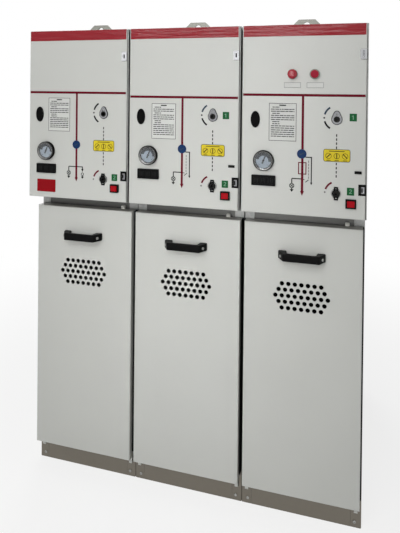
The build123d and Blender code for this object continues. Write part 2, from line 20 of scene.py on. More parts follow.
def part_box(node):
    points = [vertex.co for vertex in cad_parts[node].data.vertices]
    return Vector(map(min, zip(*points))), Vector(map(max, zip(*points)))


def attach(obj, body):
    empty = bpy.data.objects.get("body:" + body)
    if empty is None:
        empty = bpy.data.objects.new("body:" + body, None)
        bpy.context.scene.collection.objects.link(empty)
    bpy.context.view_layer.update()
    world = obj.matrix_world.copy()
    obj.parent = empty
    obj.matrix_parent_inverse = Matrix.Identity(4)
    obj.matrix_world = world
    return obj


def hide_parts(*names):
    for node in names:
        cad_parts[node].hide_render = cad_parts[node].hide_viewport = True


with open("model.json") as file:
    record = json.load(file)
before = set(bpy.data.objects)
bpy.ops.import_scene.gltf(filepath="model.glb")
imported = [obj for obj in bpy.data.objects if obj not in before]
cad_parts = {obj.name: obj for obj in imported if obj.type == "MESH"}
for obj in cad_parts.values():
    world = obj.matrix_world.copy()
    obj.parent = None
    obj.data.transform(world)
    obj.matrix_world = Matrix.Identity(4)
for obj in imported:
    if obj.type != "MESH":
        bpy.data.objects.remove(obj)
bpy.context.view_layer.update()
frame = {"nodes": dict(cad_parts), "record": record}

# %% [markdown]
# ## Where things are
#
# Prints and plates sit on the three upper panels, so each panel's middle, bottom edge and face are read from
# the frame. On a panel, places are given in millimetres: across from its middle, and up from its bottom
# edge. Reading places from the frame, and not typing them in again, keeps the dressing on the object when
# the CAD changes.

# %% Read the panels and the fittings
MM = 0.001
BAYS = (1, 2, 3)


def box_of(node):
    """The low and high corner of a CAD node's box, in millimetres."""
    low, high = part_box(node)
    return low / MM, high / MM


def middle_of(node):
    """The middle of a CAD node's box, in millimetres."""
    low, high = box_of(node)
    return (low + high) / 2


panel_middle = {bay: middle_of(f"bay_{bay}_front_panel").x for bay in BAYS}
panel_low, panel_high = box_of("bay_1_front_panel")
panel_face = panel_low.y
panel_bottom = panel_low.z
panel_height = panel_high.z - panel_low.z
panel_half = (panel_high.x - panel_low.x) / 2
socket_across = middle_of("switch_shaft_1").x - panel_middle[1]
switch_up = middle_of("switch_shaft_1").z - panel_bottom
earth_up = middle_of("earth_shaft_1").z - panel_bottom
print("panel", round(2 * panel_half), "by", round(panel_height), "mm")
print("sockets", round(switch_up), "and", round(earth_up), "mm up")

# %% [markdown]
# ## The camera
#
# The photograph was taken standing at the right-hand bay, with the lens held almost level, so upright edges
# stay upright and the whole height is framed by shifting the picture down, as a view camera does. The
# camera's place and turn come from fitting the bay width and the panel edges to the picture.

# %% Set up the camera
PHOTO_HEIGHT = 533
SENSOR = 36.0
FOCAL_PIXELS = 500.0
LEVEL_ROW = 97.5
camera_place = Vector((478.6, -1962.0, 1341.0)) * MM
camera_turn = math.radians(15.472)
camera_tilt = math.radians(90.0 - 0.465)
camera_roll = math.radians(0.596)

camera_data = bpy.data.cameras.new("camera")
camera_data.sensor_width = SENSOR
camera_data.lens = FOCAL_PIXELS / PHOTO_HEIGHT * SENSOR
camera_data.shift_y = (LEVEL_ROW - PHOTO_HEIGHT / 2) / PHOTO_HEIGHT
camera = bpy.data.objects.new("camera", camera_data)
bpy.context.scene.collection.objects.link(camera)
camera.matrix_world = (
    Matrix.Translation(camera_place)
    @ Matrix.Rotation(camera_turn, 4, "Z")
    @ Matrix.Rotation(camera_tilt, 4, "X")
    @ Matrix.Rotation(camera_roll, 4, "Z")
)
bpy.context.scene.camera = camera
print("lens", round(camera_data.lens, 2), "mm, shift", round(camera_data.shift_y, 3))

# %% [markdown]
# ## Colours and nodes
#
# Paint cards and screens give colours as sRGB hex values, and shaders count in linear light, so one function
# turns the first into the second. A second small function adds a shader node, sets its properties and fills
# its inputs, each with a number, a colour, an output of another node, or simply another node, which then
# stands for the first of its outputs that is in use.

# %% Helpers for materials
def linear(hex_colour):
    """An sRGB hex colour as linear red, green, blue and alpha."""
    shares = [int(hex_colour[place : place + 2], 16) / 255 for place in (1, 3, 5)]
    return [s / 12.92 if s <= 0.04045 else ((s + 0.055) / 1.055) ** 2.4 for s in shares] + [1.0]


def fill_inputs(tree, node, inputs):
    """Sets a node's inputs, each to a value or to a link from an output or a node."""
    for name, value in inputs.items():
        if isinstance(value, bpy.types.Node):
            value = next(output for output in value.outputs if output.enabled)
        if isinstance(value, bpy.types.NodeSocket):
            tree.links.new(value, node.inputs[name])
        else:
            node.inputs[name].default_value = value


def add_node(tree, kind, inputs, **settings):
    """Adds a shader node with its settings and inputs."""
    node = tree.nodes.new("ShaderNode" + kind)
    for name, value in settings.items():
        setattr(node, name, value)
    fill_inputs(tree, node, inputs)
    return node


def new_material(name, **inputs):
    """A material with its main shader's constant inputs set; gives the material, its tree and the shader."""
    material = bpy.data.materials.new(name)
    material.use_nodes = True
    tree = material.node_tree
    shader = tree.nodes["Principled BSDF"]
    fill_inputs(tree, shader, {key.replace("_", " "): value for key, value in inputs.items()})
    return material, tree, shader


def places_in(tree):
    """The place on the piece in metres, which moves with the piece."""
    return add_node(tree, "TexCoord", {}).outputs["Object"]


print("white is", [round(channel, 2) for channel in linear("#FFFFFF")])

# %% [markdown]
# ## The floor and the light
#
# The object stands on a plain white floor, in even studio light. To the camera, in mirrors and through glass
# the floor is part real diffuse surface, which takes the cabinets' soft shadow, and part plain white. As a
# source of light it is only the diffuse surface. The white share grows with the distance from the cabinets,
# so the floor runs into the white background with no horizon. Inside the cabinets, where a point of the
# floor sees almost no sky, there is no white share, so vents and slots stay dark.

# %% Floor
FLOOR_SIZE = 40.0
NEAR_WHITE_SHARE = 0.78
FADE_START, FADE_END = 0.7, 2.6
SKY_REACH = 2.0
INDOOR_SKY = 0.2
SHADE_SAMPLES = 8


def white_to(tree):
    """One for rays from the camera, a mirror or glass, and none for light that falls on the object."""
    path = add_node(tree, "LightPath", {})
    share = path.outputs["Is Camera Ray"]
    for kind in ("Is Glossy Ray", "Is Transmission Ray"):
        share = add_node(tree, "Math", {0: share, 1: path.outputs[kind]}, operation="MAXIMUM")
    return share


floor_material, tree, shader = new_material("matt_white_floor", Base_Color=linear("#EDEDEB"), Roughness=0.9)
distance = add_node(tree, "VectorMath", {0: places_in(tree)}, operation="LENGTH")
fade = {"From Min": FADE_START, "From Max": FADE_END, "To Min": NEAR_WHITE_SHARE, "To Max": 1.0}
white_share = add_node(tree, "MapRange", {"Value": distance, **fade}, interpolation_type="SMOOTHSTEP")
seen_share = add_node(tree, "Math", {0: white_share, 1: white_to(tree)}, operation="MULTIPLY")
sky_seen = add_node(tree, "AmbientOcclusion", {"Distance": SKY_REACH}, samples=SHADE_SAMPLES)
outdoors = add_node(tree, "MapRange", {"Value": sky_seen.outputs["AO"], "From Max": INDOOR_SKY})
outdoor_share = add_node(tree, "Math", {0: seen_share, 1: outdoors}, operation="MULTIPLY")
white = add_node(tree, "Emission", {"Color": linear("#FFFFFF"), "Strength": 1.0})
blend = add_node(tree, "MixShader", {0: outdoor_share, 1: shader, 2: white})
fill_inputs(tree, tree.nodes["Material Output"], {"Surface": blend})

floor_mesh = bmesh.new()
bmesh.ops.create_grid(floor_mesh, x_segments=1, y_segments=1, size=FLOOR_SIZE / 2)
floor_data = bpy.data.meshes.new("floor")
floor_mesh.to_mesh(floor_data)
floor_mesh.free()
floor_data.materials.append(floor_material)
floor = bpy.data.objects.new("floor", floor_data)
bpy.context.scene.collection.objects.link(floor)
print("floor", FLOOR_SIZE, "m wide, plain white from", FADE_END, "m on")

# %% [markdown]
# The sky is white to the camera, and in chrome and through glass as well, so metal shows the same backdrop.
# As a source of light it is a dim grey, so the white page doesn't flood the object. Soft boxes do the
# modelling. A large one hangs high in front, weaker ones fill in from both sides, and a narrow one with a
# grid, which keeps its light to a small angle, lifts the middle of the row. A slim box level with the upper
# locks makes their polished faces flash white, a dim card beside it greys the last one, and a slim box over
# the camera shows in the wrinkles of the red film. One more lamp lights the back.

# %% Sky and lamps
SKY_STRENGTH = 0.27
sky = bpy.data.worlds.new("studio")
sky.use_nodes = True
tree = sky.node_tree
ambient = add_node(tree, "Background", {"Color": linear("#FBFCFF"), "Strength": SKY_STRENGTH})
backdrop = add_node(tree, "Background", {"Color": linear("#FFFFFF"), "Strength": 1.0})
blend = add_node(tree, "MixShader", {0: white_to(tree), 1: ambient, 2: backdrop})
fill_inputs(tree, tree.nodes["World Output"], {"Surface": blend})
bpy.context.scene.world = sky
bpy.context.scene.view_settings.view_transform = "Standard"

# Each lamp has its place in metres, width and height in metres, watts, and spread in degrees
aim = Vector((-0.02, -0.4, 0.75))
soft_boxes = {
    "front_box": ((-0.2, -3.0, 3.1), 1.8, 1.2, 35.0, 180),
    "left_box": ((-1.1, -1.9, 2.5), 1.0, 0.8, 2.5, 180),
    "grid_box": ((0.05, -3.0, 1.1), 0.4, 1.1, 1.0, 34),
    "right_box": ((2.9, -2.6, 1.6), 1.6, 2.0, 4.0, 180),
    "film_box": ((-0.4, -2.7, 2.0), 1.6, 0.2, 8.5, 180),
    "lock_box": ((-1.0, -3.5, 1.7), 1.5, 0.16, 1.45, 180),
    "lock_card": ((0.85, -3.5, 1.73), 0.6, 0.4, 0.5, 180),
    "back_box": ((-1.5, 3.2, 2.6), 2.5, 2.0, 60.0, 180),
}
for name, (place, width, tall, watts, spread) in soft_boxes.items():
    lamp_data = bpy.data.lights.new(name, "AREA")
    lamp_data.shape = "RECTANGLE"
    lamp_data.size = width
    lamp_data.size_y = tall
    lamp_data.energy = watts
    lamp_data.spread = math.radians(spread)
    lamp = bpy.data.objects.new(name, lamp_data)
    lamp.location = place
    lamp.rotation_euler = (aim - Vector(place)).to_track_quat("-Z", "Y").to_euler()
    bpy.context.scene.collection.objects.link(lamp)
print(len(soft_boxes), "soft boxes")

# %% [markdown]
# ## Powder-coated steel
#
# The panels and doors are folded steel with a light grey polyester powder coat. The powder melts in an oven
# and sets with a faint orange-peel skin, so reflections are soft and a little uneven. Broad, weak noise
# stands for the small changes in film thickness, and a fine bump for the peel. The real peel is about 2 mm
# from dimple to dimple, which this picture is too small to show, so it is drawn at 5 mm. In the narrow seams
# between cabinets the coat is painted darker wherever the space in front of it is closed in: painted shade.
# Faces that look up are painted greyer, also as painted shade: most of all the tops of the doors, which lie
# in the shade of the panels, less the open panel tops.

# %% Powder coat
PEEL_SIZE = 5 * MM
PEEL_DEPTH = 0.4 * MM
CLOUD_SIZE = 280 * MM
SEAM_REACH = 13 * MM
DEEPEST_SEAM_SHADE = 0.2
LEDGE_START, LEDGE_FULL = 0.7, 0.95
SHELTERED_BELOW, OPEN_ABOVE = 1.0, 1.3
OPEN_LEDGE_SHADE = 0.25


# Painted shade: an ambient occlusion node darkens a colour where the space in front of it is closed in.
def painted_seam_shade(tree, unshaded_colour):
    """Paints shade into a colour in seams and corners: painted shade. The colour given is the one in the
    open.
    """
    opened = add_node(tree, "AmbientOcclusion", {"Distance": SEAM_REACH}, samples=SHADE_SAMPLES)
    seam_shade_range = {"From Min": 0.1, "From Max": 0.6, "To Min": DEEPEST_SEAM_SHADE, "To Max": 1.0}
    share = add_node(tree, "MapRange", {"Value": opened.outputs["AO"], **seam_shade_range})
    return add_node(tree, "Mix", {0: 1.0, 6: unshaded_colour, 7: share}, data_type="RGBA", blend_type="MULTIPLY")


def facing_of(tree):
    """The way a face looks, as its X, Y and Z shares."""
    normal = add_node(tree, "NewGeometry", {}).outputs["True Normal"]
    return add_node(tree, "SeparateXYZ", {"Vector": normal}).outputs


powder_coat, tree, shader = new_material("powder_coated_steel", IOR=1.5)
place = places_in(tree)
cloud = add_node(tree, "TexNoise", {"Vector": place, "Scale": 1 / CLOUD_SIZE, "Detail": 3.0})
coat = add_node(tree, "Mix", {0: cloud, 6: linear("#C2C3BE"), 7: linear("#CACBC6")}, data_type="RGBA")
# Painted shade: faces that look up are greyed, most below the panels, whose shadow falls on the door tops.
looks_up = {"Value": facing_of(tree)["Z"], "From Min": LEDGE_START, "From Max": LEDGE_FULL}
ledge = add_node(tree, "MapRange", looks_up)
height = add_node(tree, "SeparateXYZ", {"Vector": place}).outputs["Z"]
ledge_shade_fading = {"From Min": SHELTERED_BELOW, "From Max": OPEN_ABOVE, "To Min": 1.0, "To Max": OPEN_LEDGE_SHADE}
shelter = add_node(tree, "MapRange", {"Value": height, **ledge_shade_fading})
ledge_shade = add_node(tree, "Math", {0: ledge, 1: shelter}, operation="MULTIPLY")
ledge_shaded_coat = add_node(tree, "Mix", {0: ledge_shade, 6: coat, 7: linear("#85837E")}, data_type="RGBA")
gloss = add_node(tree, "MapRange", {"Value": cloud, "To Min": 0.28, "To Max": 0.4})
peel = add_node(tree, "TexNoise", {"Vector": place, "Scale": 1 / PEEL_SIZE, "Detail": 2.0})
skin = add_node(tree, "Bump", {"Height": peel, "Strength": 0.06, "Distance": PEEL_DEPTH})
finish = {"Base Color": painted_seam_shade(tree, ledge_shaded_coat), "Roughness": gloss, "Normal": skin}
fill_inputs(tree, shader, finish)
print("powder coat peel", PEEL_SIZE / MM, "mm")

# %% [markdown]
# ## Zinc-coated sheet
#
# Walls, roof, back covers and foot are bare steel sheet with a hot-dip zinc coat. The zinc freezes in flat
# crystals a centimetre or so across, the spangle, and each crystal throws light back a little differently.
# Voronoi cells give each crystal its own shade and roughness. Towards the floor the metal is written darker,
# along an uneven line. The inside faces of the back covers, which show through the vents, are painted dark
# and rough all over: painted shade. In seams the sheet is painted darker too, as painted shade. The metal
# mirrors the white studio, so it is written darker than a new coat.

# %% Zinc-coated sheet
SPANGLE_SIZE = 11 * MM
DARK_FOOT_HEIGHT = 110 * MM
DRIFT_SIZE = 160 * MM
BACK_DEPTH = 0.3

zinc_sheet, tree, shader = new_material("hot_dip_zinc_sheet", Metallic=1.0)
place = places_in(tree)
spangle = add_node(tree, "TexVoronoi", {"Vector": place, "Scale": 1 / SPANGLE_SIZE})
crystal = add_node(tree, "SeparateColor", {"Color": spangle.outputs["Color"]}).outputs
tones = {0: crystal["Red"], 6: linear("#868785"), 7: linear("#949593")}
bright = add_node(tree, "Mix", tones, data_type="RGBA")
axes = add_node(tree, "SeparateXYZ", {"Vector": place}).outputs
# Towards the floor the metal is written darker, along an uneven line.
drift = add_node(tree, "TexNoise", {"Vector": place, "Scale": 1 / DRIFT_SIZE, "Detail": 4.0})
uneven = add_node(tree, "MapRange", {"Value": drift, "To Min": 0.2, "To Max": 1.0})
foot_level = add_node(tree, "Math", {0: axes["Z"], 1: uneven}, operation="MULTIPLY")
foot_fade = {"From Min": 0.8 * DARK_FOOT_HEIGHT, "From Max": 1.6 * DARK_FOOT_HEIGHT, "To Min": 1.0, "To Max": 0.0}
foot_darkening = add_node(tree, "MapRange", {"Value": foot_level, **foot_fade}, interpolation_type="SMOOTHSTEP")
body = add_node(tree, "Mix", {0: foot_darkening, 6: bright, 7: linear("#767168")}, data_type="RGBA")
# Painted shade: the inside faces of the back covers, far back and facing forward, are written dark and rough.
looks_forward = add_node(tree, "Math", {0: facing_of(tree)["Y"], 1: -0.5}, operation="LESS_THAN")
far_back = add_node(tree, "Math", {0: axes["Y"], 1: BACK_DEPTH}, operation="GREATER_THAN")
inside = add_node(tree, "Math", {0: looks_forward, 1: far_back}, operation="MULTIPLY")
sheet = add_node(tree, "Mix", {0: inside, 6: body, 7: linear("#2B2A27")}, data_type="RGBA")
spangle_gloss = add_node(tree, "MapRange", {"Value": crystal["Green"], "To Min": 0.3, "To Max": 0.42})
gloss = add_node(tree, "Math", {0: spangle_gloss, 1: inside}, operation="MAXIMUM")
# The zinc is painted darker in its seams too: painted shade.
fill_inputs(tree, shader, {"Base Color": painted_seam_shade(tree, sheet), "Roughness": gloss})
print("spangle", SPANGLE_SIZE / MM, "mm")

# %% [markdown]
# ## Plated and polished metal
#
# Screws are steel with a bright electroplated zinc coat, a little milky, and the same coat on the lifting
# lugs and lamp rings has gone dull. Gauge bezels, locks and the pear-shaped escutcheons are polished chrome.
# The lever shafts are blackened steel, oiled, and the rings inside the gauges are burnished steel. The rails
# are steel written dark grey: painted shade, for the shade under the panels. All are the same kind of surface
# with other colours, so one loop makes them: a metal whose roughness wanders with handling marks about 20 mm
# across. The metals mirror a white backdrop, brighter than a switch room, so each is written darker than on a
# sample card.

# %% Plated metals
HANDLING_SIZE = 20 * MM
plated = {}
for name, colour, smooth, rough in (
    ("bright_zinc_plate", "#9A9A97", 0.24, 0.36),
    ("dull_zinc_plate", "#85857F", 0.5, 0.6),
    ("polished_chrome", "#8F9092", 0.05, 0.12),
    ("blackened_oiled_steel", "#222221", 0.3, 0.45),
    # Painted shade: the rails are written dark grey for the shade under the panels.
    ("rail_steel_painted_dark", "#5A5A58", 0.28, 0.4),
    ("burnished_steel", "#636361", 0.22, 0.32),
):
    plated[name], tree, shader = new_material(name, Metallic=1.0, Base_Color=linear(colour))
    grip = {"Vector": places_in(tree), "Scale": 1 / HANDLING_SIZE, "Detail": 4.0}
    marks = add_node(tree, "TexNoise", grip)
    gloss = add_node(tree, "MapRange", {"Value": marks, "To Min": smooth, "To Max": rough})
    fill_inputs(tree, shader, {"Roughness": gloss})
print("plated metals:", ", ".join(plated))

# %% [markdown]
# ## Moulded plastics, rubber and enamel
#
# Handles, indicator and sockets are black moulded ABS with a spark-eroded grain, the sight plug is black
# rubber, buttons are glossy red, the position disc is blue and small sliding caps are white nylon. Moulded
# parts keep the tool's fine grain, about half a millimetre, drawn here at 1.5 mm so that it can show. The
# pits of a deep grain swallow part of the shine, so black grained parts get less of it. The gauge's dial and
# needle are enamelled, with almost no grain. One loop makes them all from their colour pair, roughness, shine
# and grain depth.

# %% Mouldings
GRAIN_SIZE = 1.5 * MM
GRAIN_DEPTH = 0.2 * MM
moulded = {}
for name, dark, pale, roughness, shine, grain in (
    ("black_grained_abs", "#060606", "#0D0D0D", 0.42, 0.06, 0.25),
    ("black_moulded_rubber", "#060606", "#0C0C0B", 0.6, 0.04, 0.15),
    ("red_gloss_polycarbonate", "#9C0912", "#AD0F1E", 0.25, 0.1, 0.04),
    ("crimson_button_cap", "#8E0E28", "#9B142F", 0.35, 0.1, 0.04),
    ("blue_gloss_acrylic", "#122C55", "#183661", 0.3, 0.1, 0.04),
    ("white_moulded_nylon", "#D5D4CD", "#DEDDD6", 0.45, 0.3, 0.1),
    ("dial_enamel", "#98A1AC", "#ACB4BD", 0.3, 0.4, 0.02),
    ("black_needle_enamel", "#0C0C0D", "#151516", 0.35, 0.3, 0.02),
):
    moulded[name], tree, shader = new_material(
        name, Roughness=roughness, IOR=1.53, Specular_IOR_Level=shine
    )
    place = places_in(tree)
    tone = add_node(tree, "TexNoise", {"Vector": place, "Scale": 1 / HANDLING_SIZE, "Detail": 3.0})
    colour = add_node(tree, "Mix", {0: tone, 6: linear(dark), 7: linear(pale)}, data_type="RGBA")
    spark = add_node(tree, "TexNoise", {"Vector": place, "Scale": 1 / GRAIN_SIZE, "Detail": 2.0})
    skin = add_node(tree, "Bump", {"Height": spark, "Strength": grain, "Distance": GRAIN_DEPTH})
    fill_inputs(tree, shader, {"Base Color": colour, "Normal": skin})
print("mouldings:", ", ".join(moulded))

# %% [markdown]
# ## Clear and coloured glass
#
# The gauge has a flat window glass. The pilot lamp's lens is red polycarbonate, unlit: light goes a little
# way in, so it is partly transmissive with a rough inside, which keeps it from looking like paint. Faint
# streaks in the roughness stand for wiping marks.

# %% Glass and lens
WIPE_SIZE = 30 * MM
clear = {}
for name, colour, depth, smooth, rough in (
    ("flat_gauge_glass", "#F4F8FA", 1.0, 0.0, 0.05),
    ("red_lamp_lens", "#AA0826", 0.2, 0.2, 0.32),
):
    clear[name], tree, shader = new_material(
        name, Base_Color=linear(colour), Transmission_Weight=depth, IOR=1.5
    )
    wipes = add_node(tree, "TexNoise", {"Vector": places_in(tree), "Scale": 1 / WIPE_SIZE})
    gloss = add_node(tree, "MapRange", {"Value": wipes, "To Min": smooth, "To Max": rough})
    fill_inputs(tree, shader, {"Roughness": gloss})
print("clear materials:", ", ".join(clear))

# %% [markdown]
# ## The red film
#
# Along the top of each panel runs a strip of red self-adhesive film. It was laid by hand, so it isn't flat:
# long shallow wrinkles run along it, and those that lean towards a lamp catch it in pale streaks. A noise
# stretched along the strip gives the wrinkles, about 110 mm long and 10 mm wide, and a bump makes them lean.

# %% Red film
WRINKLE_LENGTH = 110 * MM
WRINKLE_WIDTH = 10 * MM
WRINKLE_DEPTH = 3.6 * MM

red_film, tree, shader = new_material("red_gloss_film", IOR=1.5, Roughness=0.14, Specular_IOR_Level=0.28)
place = places_in(tree)
lengths = (1 / WRINKLE_LENGTH, 1 / WRINKLE_WIDTH, 1 / WRINKLE_WIDTH)
stretch = add_node(tree, "Mapping", {"Vector": place, "Scale": lengths})
wrinkle = add_node(tree, "TexNoise", {"Vector": stretch, "Scale": 1.0, "Detail": 2.0})
cloud = add_node(tree, "TexNoise", {"Vector": place, "Scale": 1 / CLOUD_SIZE, "Detail": 2.0})
colour = add_node(tree, "Mix", {0: cloud, 6: linear("#8C0F1D"), 7: linear("#981423")}, data_type="RGBA")
skin = add_node(tree, "Bump", {"Height": wrinkle, "Strength": 1.0, "Distance": WRINKLE_DEPTH})
fill_inputs(tree, shader, {"Base Color": colour, "Normal": skin})
print("film wrinkles", WRINKLE_LENGTH / MM, "by", WRINKLE_WIDTH / MM, "mm")

# %% [markdown]
# ## Inks and label vinyl
#
# Diagram, arcs and borders are screen-printed ink, and the small plates are printed vinyl. A print is never
# quite even: the screen's mesh leaves a faint mottle, and the ink dries a little less glossy than the paint.
# All inks are one recipe with another colour, so one loop makes each from a deep and a light tone, mixed by
# a mottle 3 mm across.

# %% Inks
MOTTLE_SIZE = 3 * MM
inks = {}
for name, deep, light in (
    ("crimson_ink", "#5C0118", "#69051E"),
    ("black_ink", "#0E0E0F", "#171718"),
    ("grey_ink", "#6C6D6C", "#7A7B79"),
    ("slate_blue_ink", "#2A3947", "#354554"),
    ("pale_green_ink", "#6F987C", "#7CA489"),
    ("notice_vinyl", "#CDCECA", "#D4D5D1"),
    ("cell_grey", "#171717", "#202020"),
    # This grey paints the shadow and dark reflection over the dial's upper half.
    ("dial_shade_grey", "#20242A", "#2B2F36"),
    ("yellow_vinyl", "#CDB826", "#DAC637"),
    ("green_vinyl", "#17532C", "#215F38"),
    ("red_vinyl", "#860912", "#930D18"),
):
    inks[name], tree, shader = new_material(name, Roughness=0.45, IOR=1.5, Specular_IOR_Level=0.1)
    mesh_marks = {"Vector": places_in(tree), "Scale": 1 / MOTTLE_SIZE, "Detail": 2.0}
    mottle = add_node(tree, "TexNoise", mesh_marks)
    colour = add_node(tree, "Mix", {0: mottle, 6: linear(deep), 7: linear(light)}, data_type="RGBA")
    fill_inputs(tree, shader, {"Base Color": colour})
print(len(inks), "inks and vinyls")

# %% [markdown]
# ## Finishing the CAD nodes
#
# The record names a material slot for each CAD node. A table from slot to material dresses them all at once.
# The pilot lamp shares its slot with the buttons but is a lens, the round button is a deeper red than the
# square ones, the rails are painted dark as painted shade, lugs and lamp rings are duller than the metal
# round them, and the escutcheons are chrome, so these six get their own.

# %% Dress the CAD nodes
slot_finish = {
    "grey_paint": powder_coat,
    "galvanised_sheet": zinc_sheet,
    "zinc_plate": plated["bright_zinc_plate"],
    "chrome_bezel": plated["polished_chrome"],
    "steel_shaft": plated["blackened_oiled_steel"],
    "red_film": red_film,
    "black_rubber": moulded["black_moulded_rubber"],
    "black_plastic": moulded["black_grained_abs"],
    "black_enamel": moulded["black_needle_enamel"],
    "dial_face": moulded["dial_enamel"],
    "blue_plastic": moulded["blue_gloss_acrylic"],
    "red_plastic": moulded["red_gloss_polycarbonate"],
    "clear_glass": clear["flat_gauge_glass"],
}
node_finish = {
    "pilot_lamp": clear["red_lamp_lens"],
    "cross_rails": plated["rail_steel_painted_dark"],
    "lifting_lugs": plated["dull_zinc_plate"],
    "switch_bezels": plated["polished_chrome"],
    "round_rings": plated["dull_zinc_plate"],
    "round_button": moulded["crimson_button_cap"],
}
for part in frame["record"]["subparts"]:
    node = frame["nodes"][part["node"]]
    node.data.materials.clear()
    node.data.materials.append(node_finish.get(part["node"], slot_finish[part["material_slot"]]))
print("dressed", len(frame["nodes"]), "CAD nodes")

# %% [markdown]
# ## Shapes for prints and plates
#
# A print is a thin layer with a sharp outline. It could be a texture, but a mesh keeps its edge crisp at any
# distance. So each print is a set of outlines, drawn in front view and given a thickness, like card cut with
# a knife. These functions give the outlines as lists of points.

# %% Outlines
def stroke(start, end, width):
    """A straight line of some width."""
    start, end = Vector(start), Vector(end)
    along = (end - start).normalized()
    side = Vector((-along.y, along.x)) * width / 2
    return [start - side, end - side, end + side, start + side]


def rectangle(left, low, right, high):
    """An upright rectangle."""
    return [(left, low), (right, low), (right, high), (left, high)]


def arc(centre, radius, start, end, steps):
    """Points along an arc, with angles in degrees from the right, counted up and over."""
    angles = [math.radians(start + (end - start) * step / steps) for step in range(steps + 1)]
    return [(centre[0] + radius * math.cos(a), centre[1] + radius * math.sin(a)) for a in angles]


def disc(centre, radius, steps=24):
    """A filled circle."""
    return arc(centre, radius, 0, 360, steps)[:-1]


def arc_band(centre, radius, width, start, end, steps=14):
    """A band along an arc."""
    outer = arc(centre, radius + width / 2, start, end, steps)
    inner = arc(centre, radius - width / 2, start, end, steps)
    return outer + inner[::-1]


def ring(centre, radius, width):
    """A full circle line, as two half bands."""
    return [arc_band(centre, radius, width, 0, 180), arc_band(centre, radius, width, 180, 360)]


def rounded(centre, width, tall, radius):
    """A rectangle with round corners."""
    x, z = width / 2 - radius, tall / 2 - radius
    corners = ((x, z, 0), (-x, z, 90), (-x, -z, 180), (x, -z, 270))
    points = []
    for dx, dz, start in corners:
        points += arc((centre[0] + dx, centre[1] + dz), radius, start, start + 90, 5)
    return points


def frame_lines(centre, width, tall, line):
    """The four border lines of a rectangle."""
    left, right = centre[0] - width / 2, centre[0] + width / 2
    low, high = centre[1] - tall / 2, centre[1] + tall / 2
    return [
        rectangle(left, low, right, low + line),
        rectangle(left, high - line, right, high),
        rectangle(left, low + line, left + line, high - line),
        rectangle(right - line, low + line, right, high - line),
    ]


print("a disc has", len(disc((0, 0), 1)), "points")

# %% [markdown]
# The next functions turn outlines into pieces. The first joins two outlines to a closed solid, and two short
# ones use it: a slab is raised from a front view, an upright from a plan. The fourth makes the mesh an object
# with its faces turned outward, dresses it and lets it ride on its CAD body, and the last does all that for
# a print on a panel.

# %% Make pieces
PRINT_THICK = 0.2
FINE_PRINT_THICK = 0.15


def add_closed(mesh, first, last):
    """Adds a closed solid between two outlines with the same number of corners, given in millimetres."""
    first = [mesh.verts.new(Vector(corner) * MM) for corner in first]
    last = [mesh.verts.new(Vector(corner) * MM) for corner in last]
    mesh.faces.new(first)
    mesh.faces.new(last[::-1])
    for index in range(len(first)):
        after = (index + 1) % len(first)
        mesh.faces.new((first[index], last[index], last[after], first[after]))


def add_slab(mesh, outline, back, front):
    """Adds a slab: an outline in front view, raised between two depths."""
    add_closed(mesh, [(x, front, z) for x, z in outline], [(x, back, z) for x, z in outline])


def add_upright(mesh, plan, low, high):
    """Adds an upright: a plan outline, raised between two heights."""
    add_closed(mesh, [(x, y, high) for x, y in plan], [(x, y, low) for x, y in plan])


def add_piece(name, mesh, material, body="carcass"):
    """Makes a mesh of closed solids a piece of the object, riding on a CAD body."""
    bmesh.ops.recalc_face_normals(mesh, faces=mesh.faces)
    data = bpy.data.meshes.new(name)
    mesh.to_mesh(data)
    mesh.free()
    data.materials.append(material)
    piece = bpy.data.objects.new(name, data)
    bpy.context.scene.collection.objects.link(piece)
    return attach(piece, body)


def print_on_panel(name, bay, outlines, material, lift=0.0, thickness=PRINT_THICK):
    """Prints outlines on a bay's panel; places are across from its middle and up from its bottom edge."""
    mesh = bmesh.new()
    back = panel_face - lift
    for outline in outlines:
        placed = [(panel_middle[bay] + x, panel_bottom + z) for x, z in outline]
        add_slab(mesh, placed, back, back - thickness)
    return add_piece(name, mesh, material)


print("prints are raised from the panel face at", round(panel_face), "mm")

# %% [markdown]
# ## The mimic diagram
#
# A mimic diagram shows the circuit in front of you: the busbar runs across all the panels, and a riser goes
# down through the switch to the cable. Its lines are strokes about 7 mm wide. The bays differ: the first has
# two side branches, the other two have an earthing branch, and the last has a fuse.

# %% Busbar and riser
BUSBAR_UP = {1: 361.5, 2: 350.4, 3: 361.0}
BUSBAR_WIDTH = 7.6
RISER_WIDTH = 7.0
RISER_ACROSS = {1: 0.0, 2: 0.0, 3: 2.0}
RISER_TIP_UP = 60.0
RISER_HEAD = (12.0, 14.0)
FUSE_BAY = 3
FUSE_PLACE = (2.0, 142.5)
FUSE_SIZE = (24.7, 37.0)
FUSE_LINE = 3.0
FOLD_RADIUS = 3.0
print_half = panel_half - FOLD_RADIUS


def arrow_head(across, tip_up, width, tall):
    """An arrow head that points down."""
    return [(across, tip_up), (across + width / 2, tip_up + tall), (across - width / 2, tip_up + tall)]


for bay in BAYS:
    up, x = BUSBAR_UP[bay], RISER_ACROSS[bay]
    lines = [stroke((-print_half, up), (print_half, up), BUSBAR_WIDTH)]
    lines.append(stroke((x, RISER_TIP_UP + RISER_HEAD[1]), (x, up - BUSBAR_WIDTH / 2), RISER_WIDTH))
    lines.append(arrow_head(x, RISER_TIP_UP, *RISER_HEAD))
    if bay == FUSE_BAY:
        lines += frame_lines(FUSE_PLACE, *FUSE_SIZE, FUSE_LINE)
    print_on_panel(f"mimic_lines_{bay}", bay, lines, inks["crimson_ink"])
print("busbar and riser on", len(BAYS), "panels")

# %% [markdown]
# The thin black side branches carry the small symbols: in every bay a lamp (a circle with a cross) for the
# voltage indicator, and in the first bay a surge arrester. Each branch is a function that gives its
# outlines, from the top down.

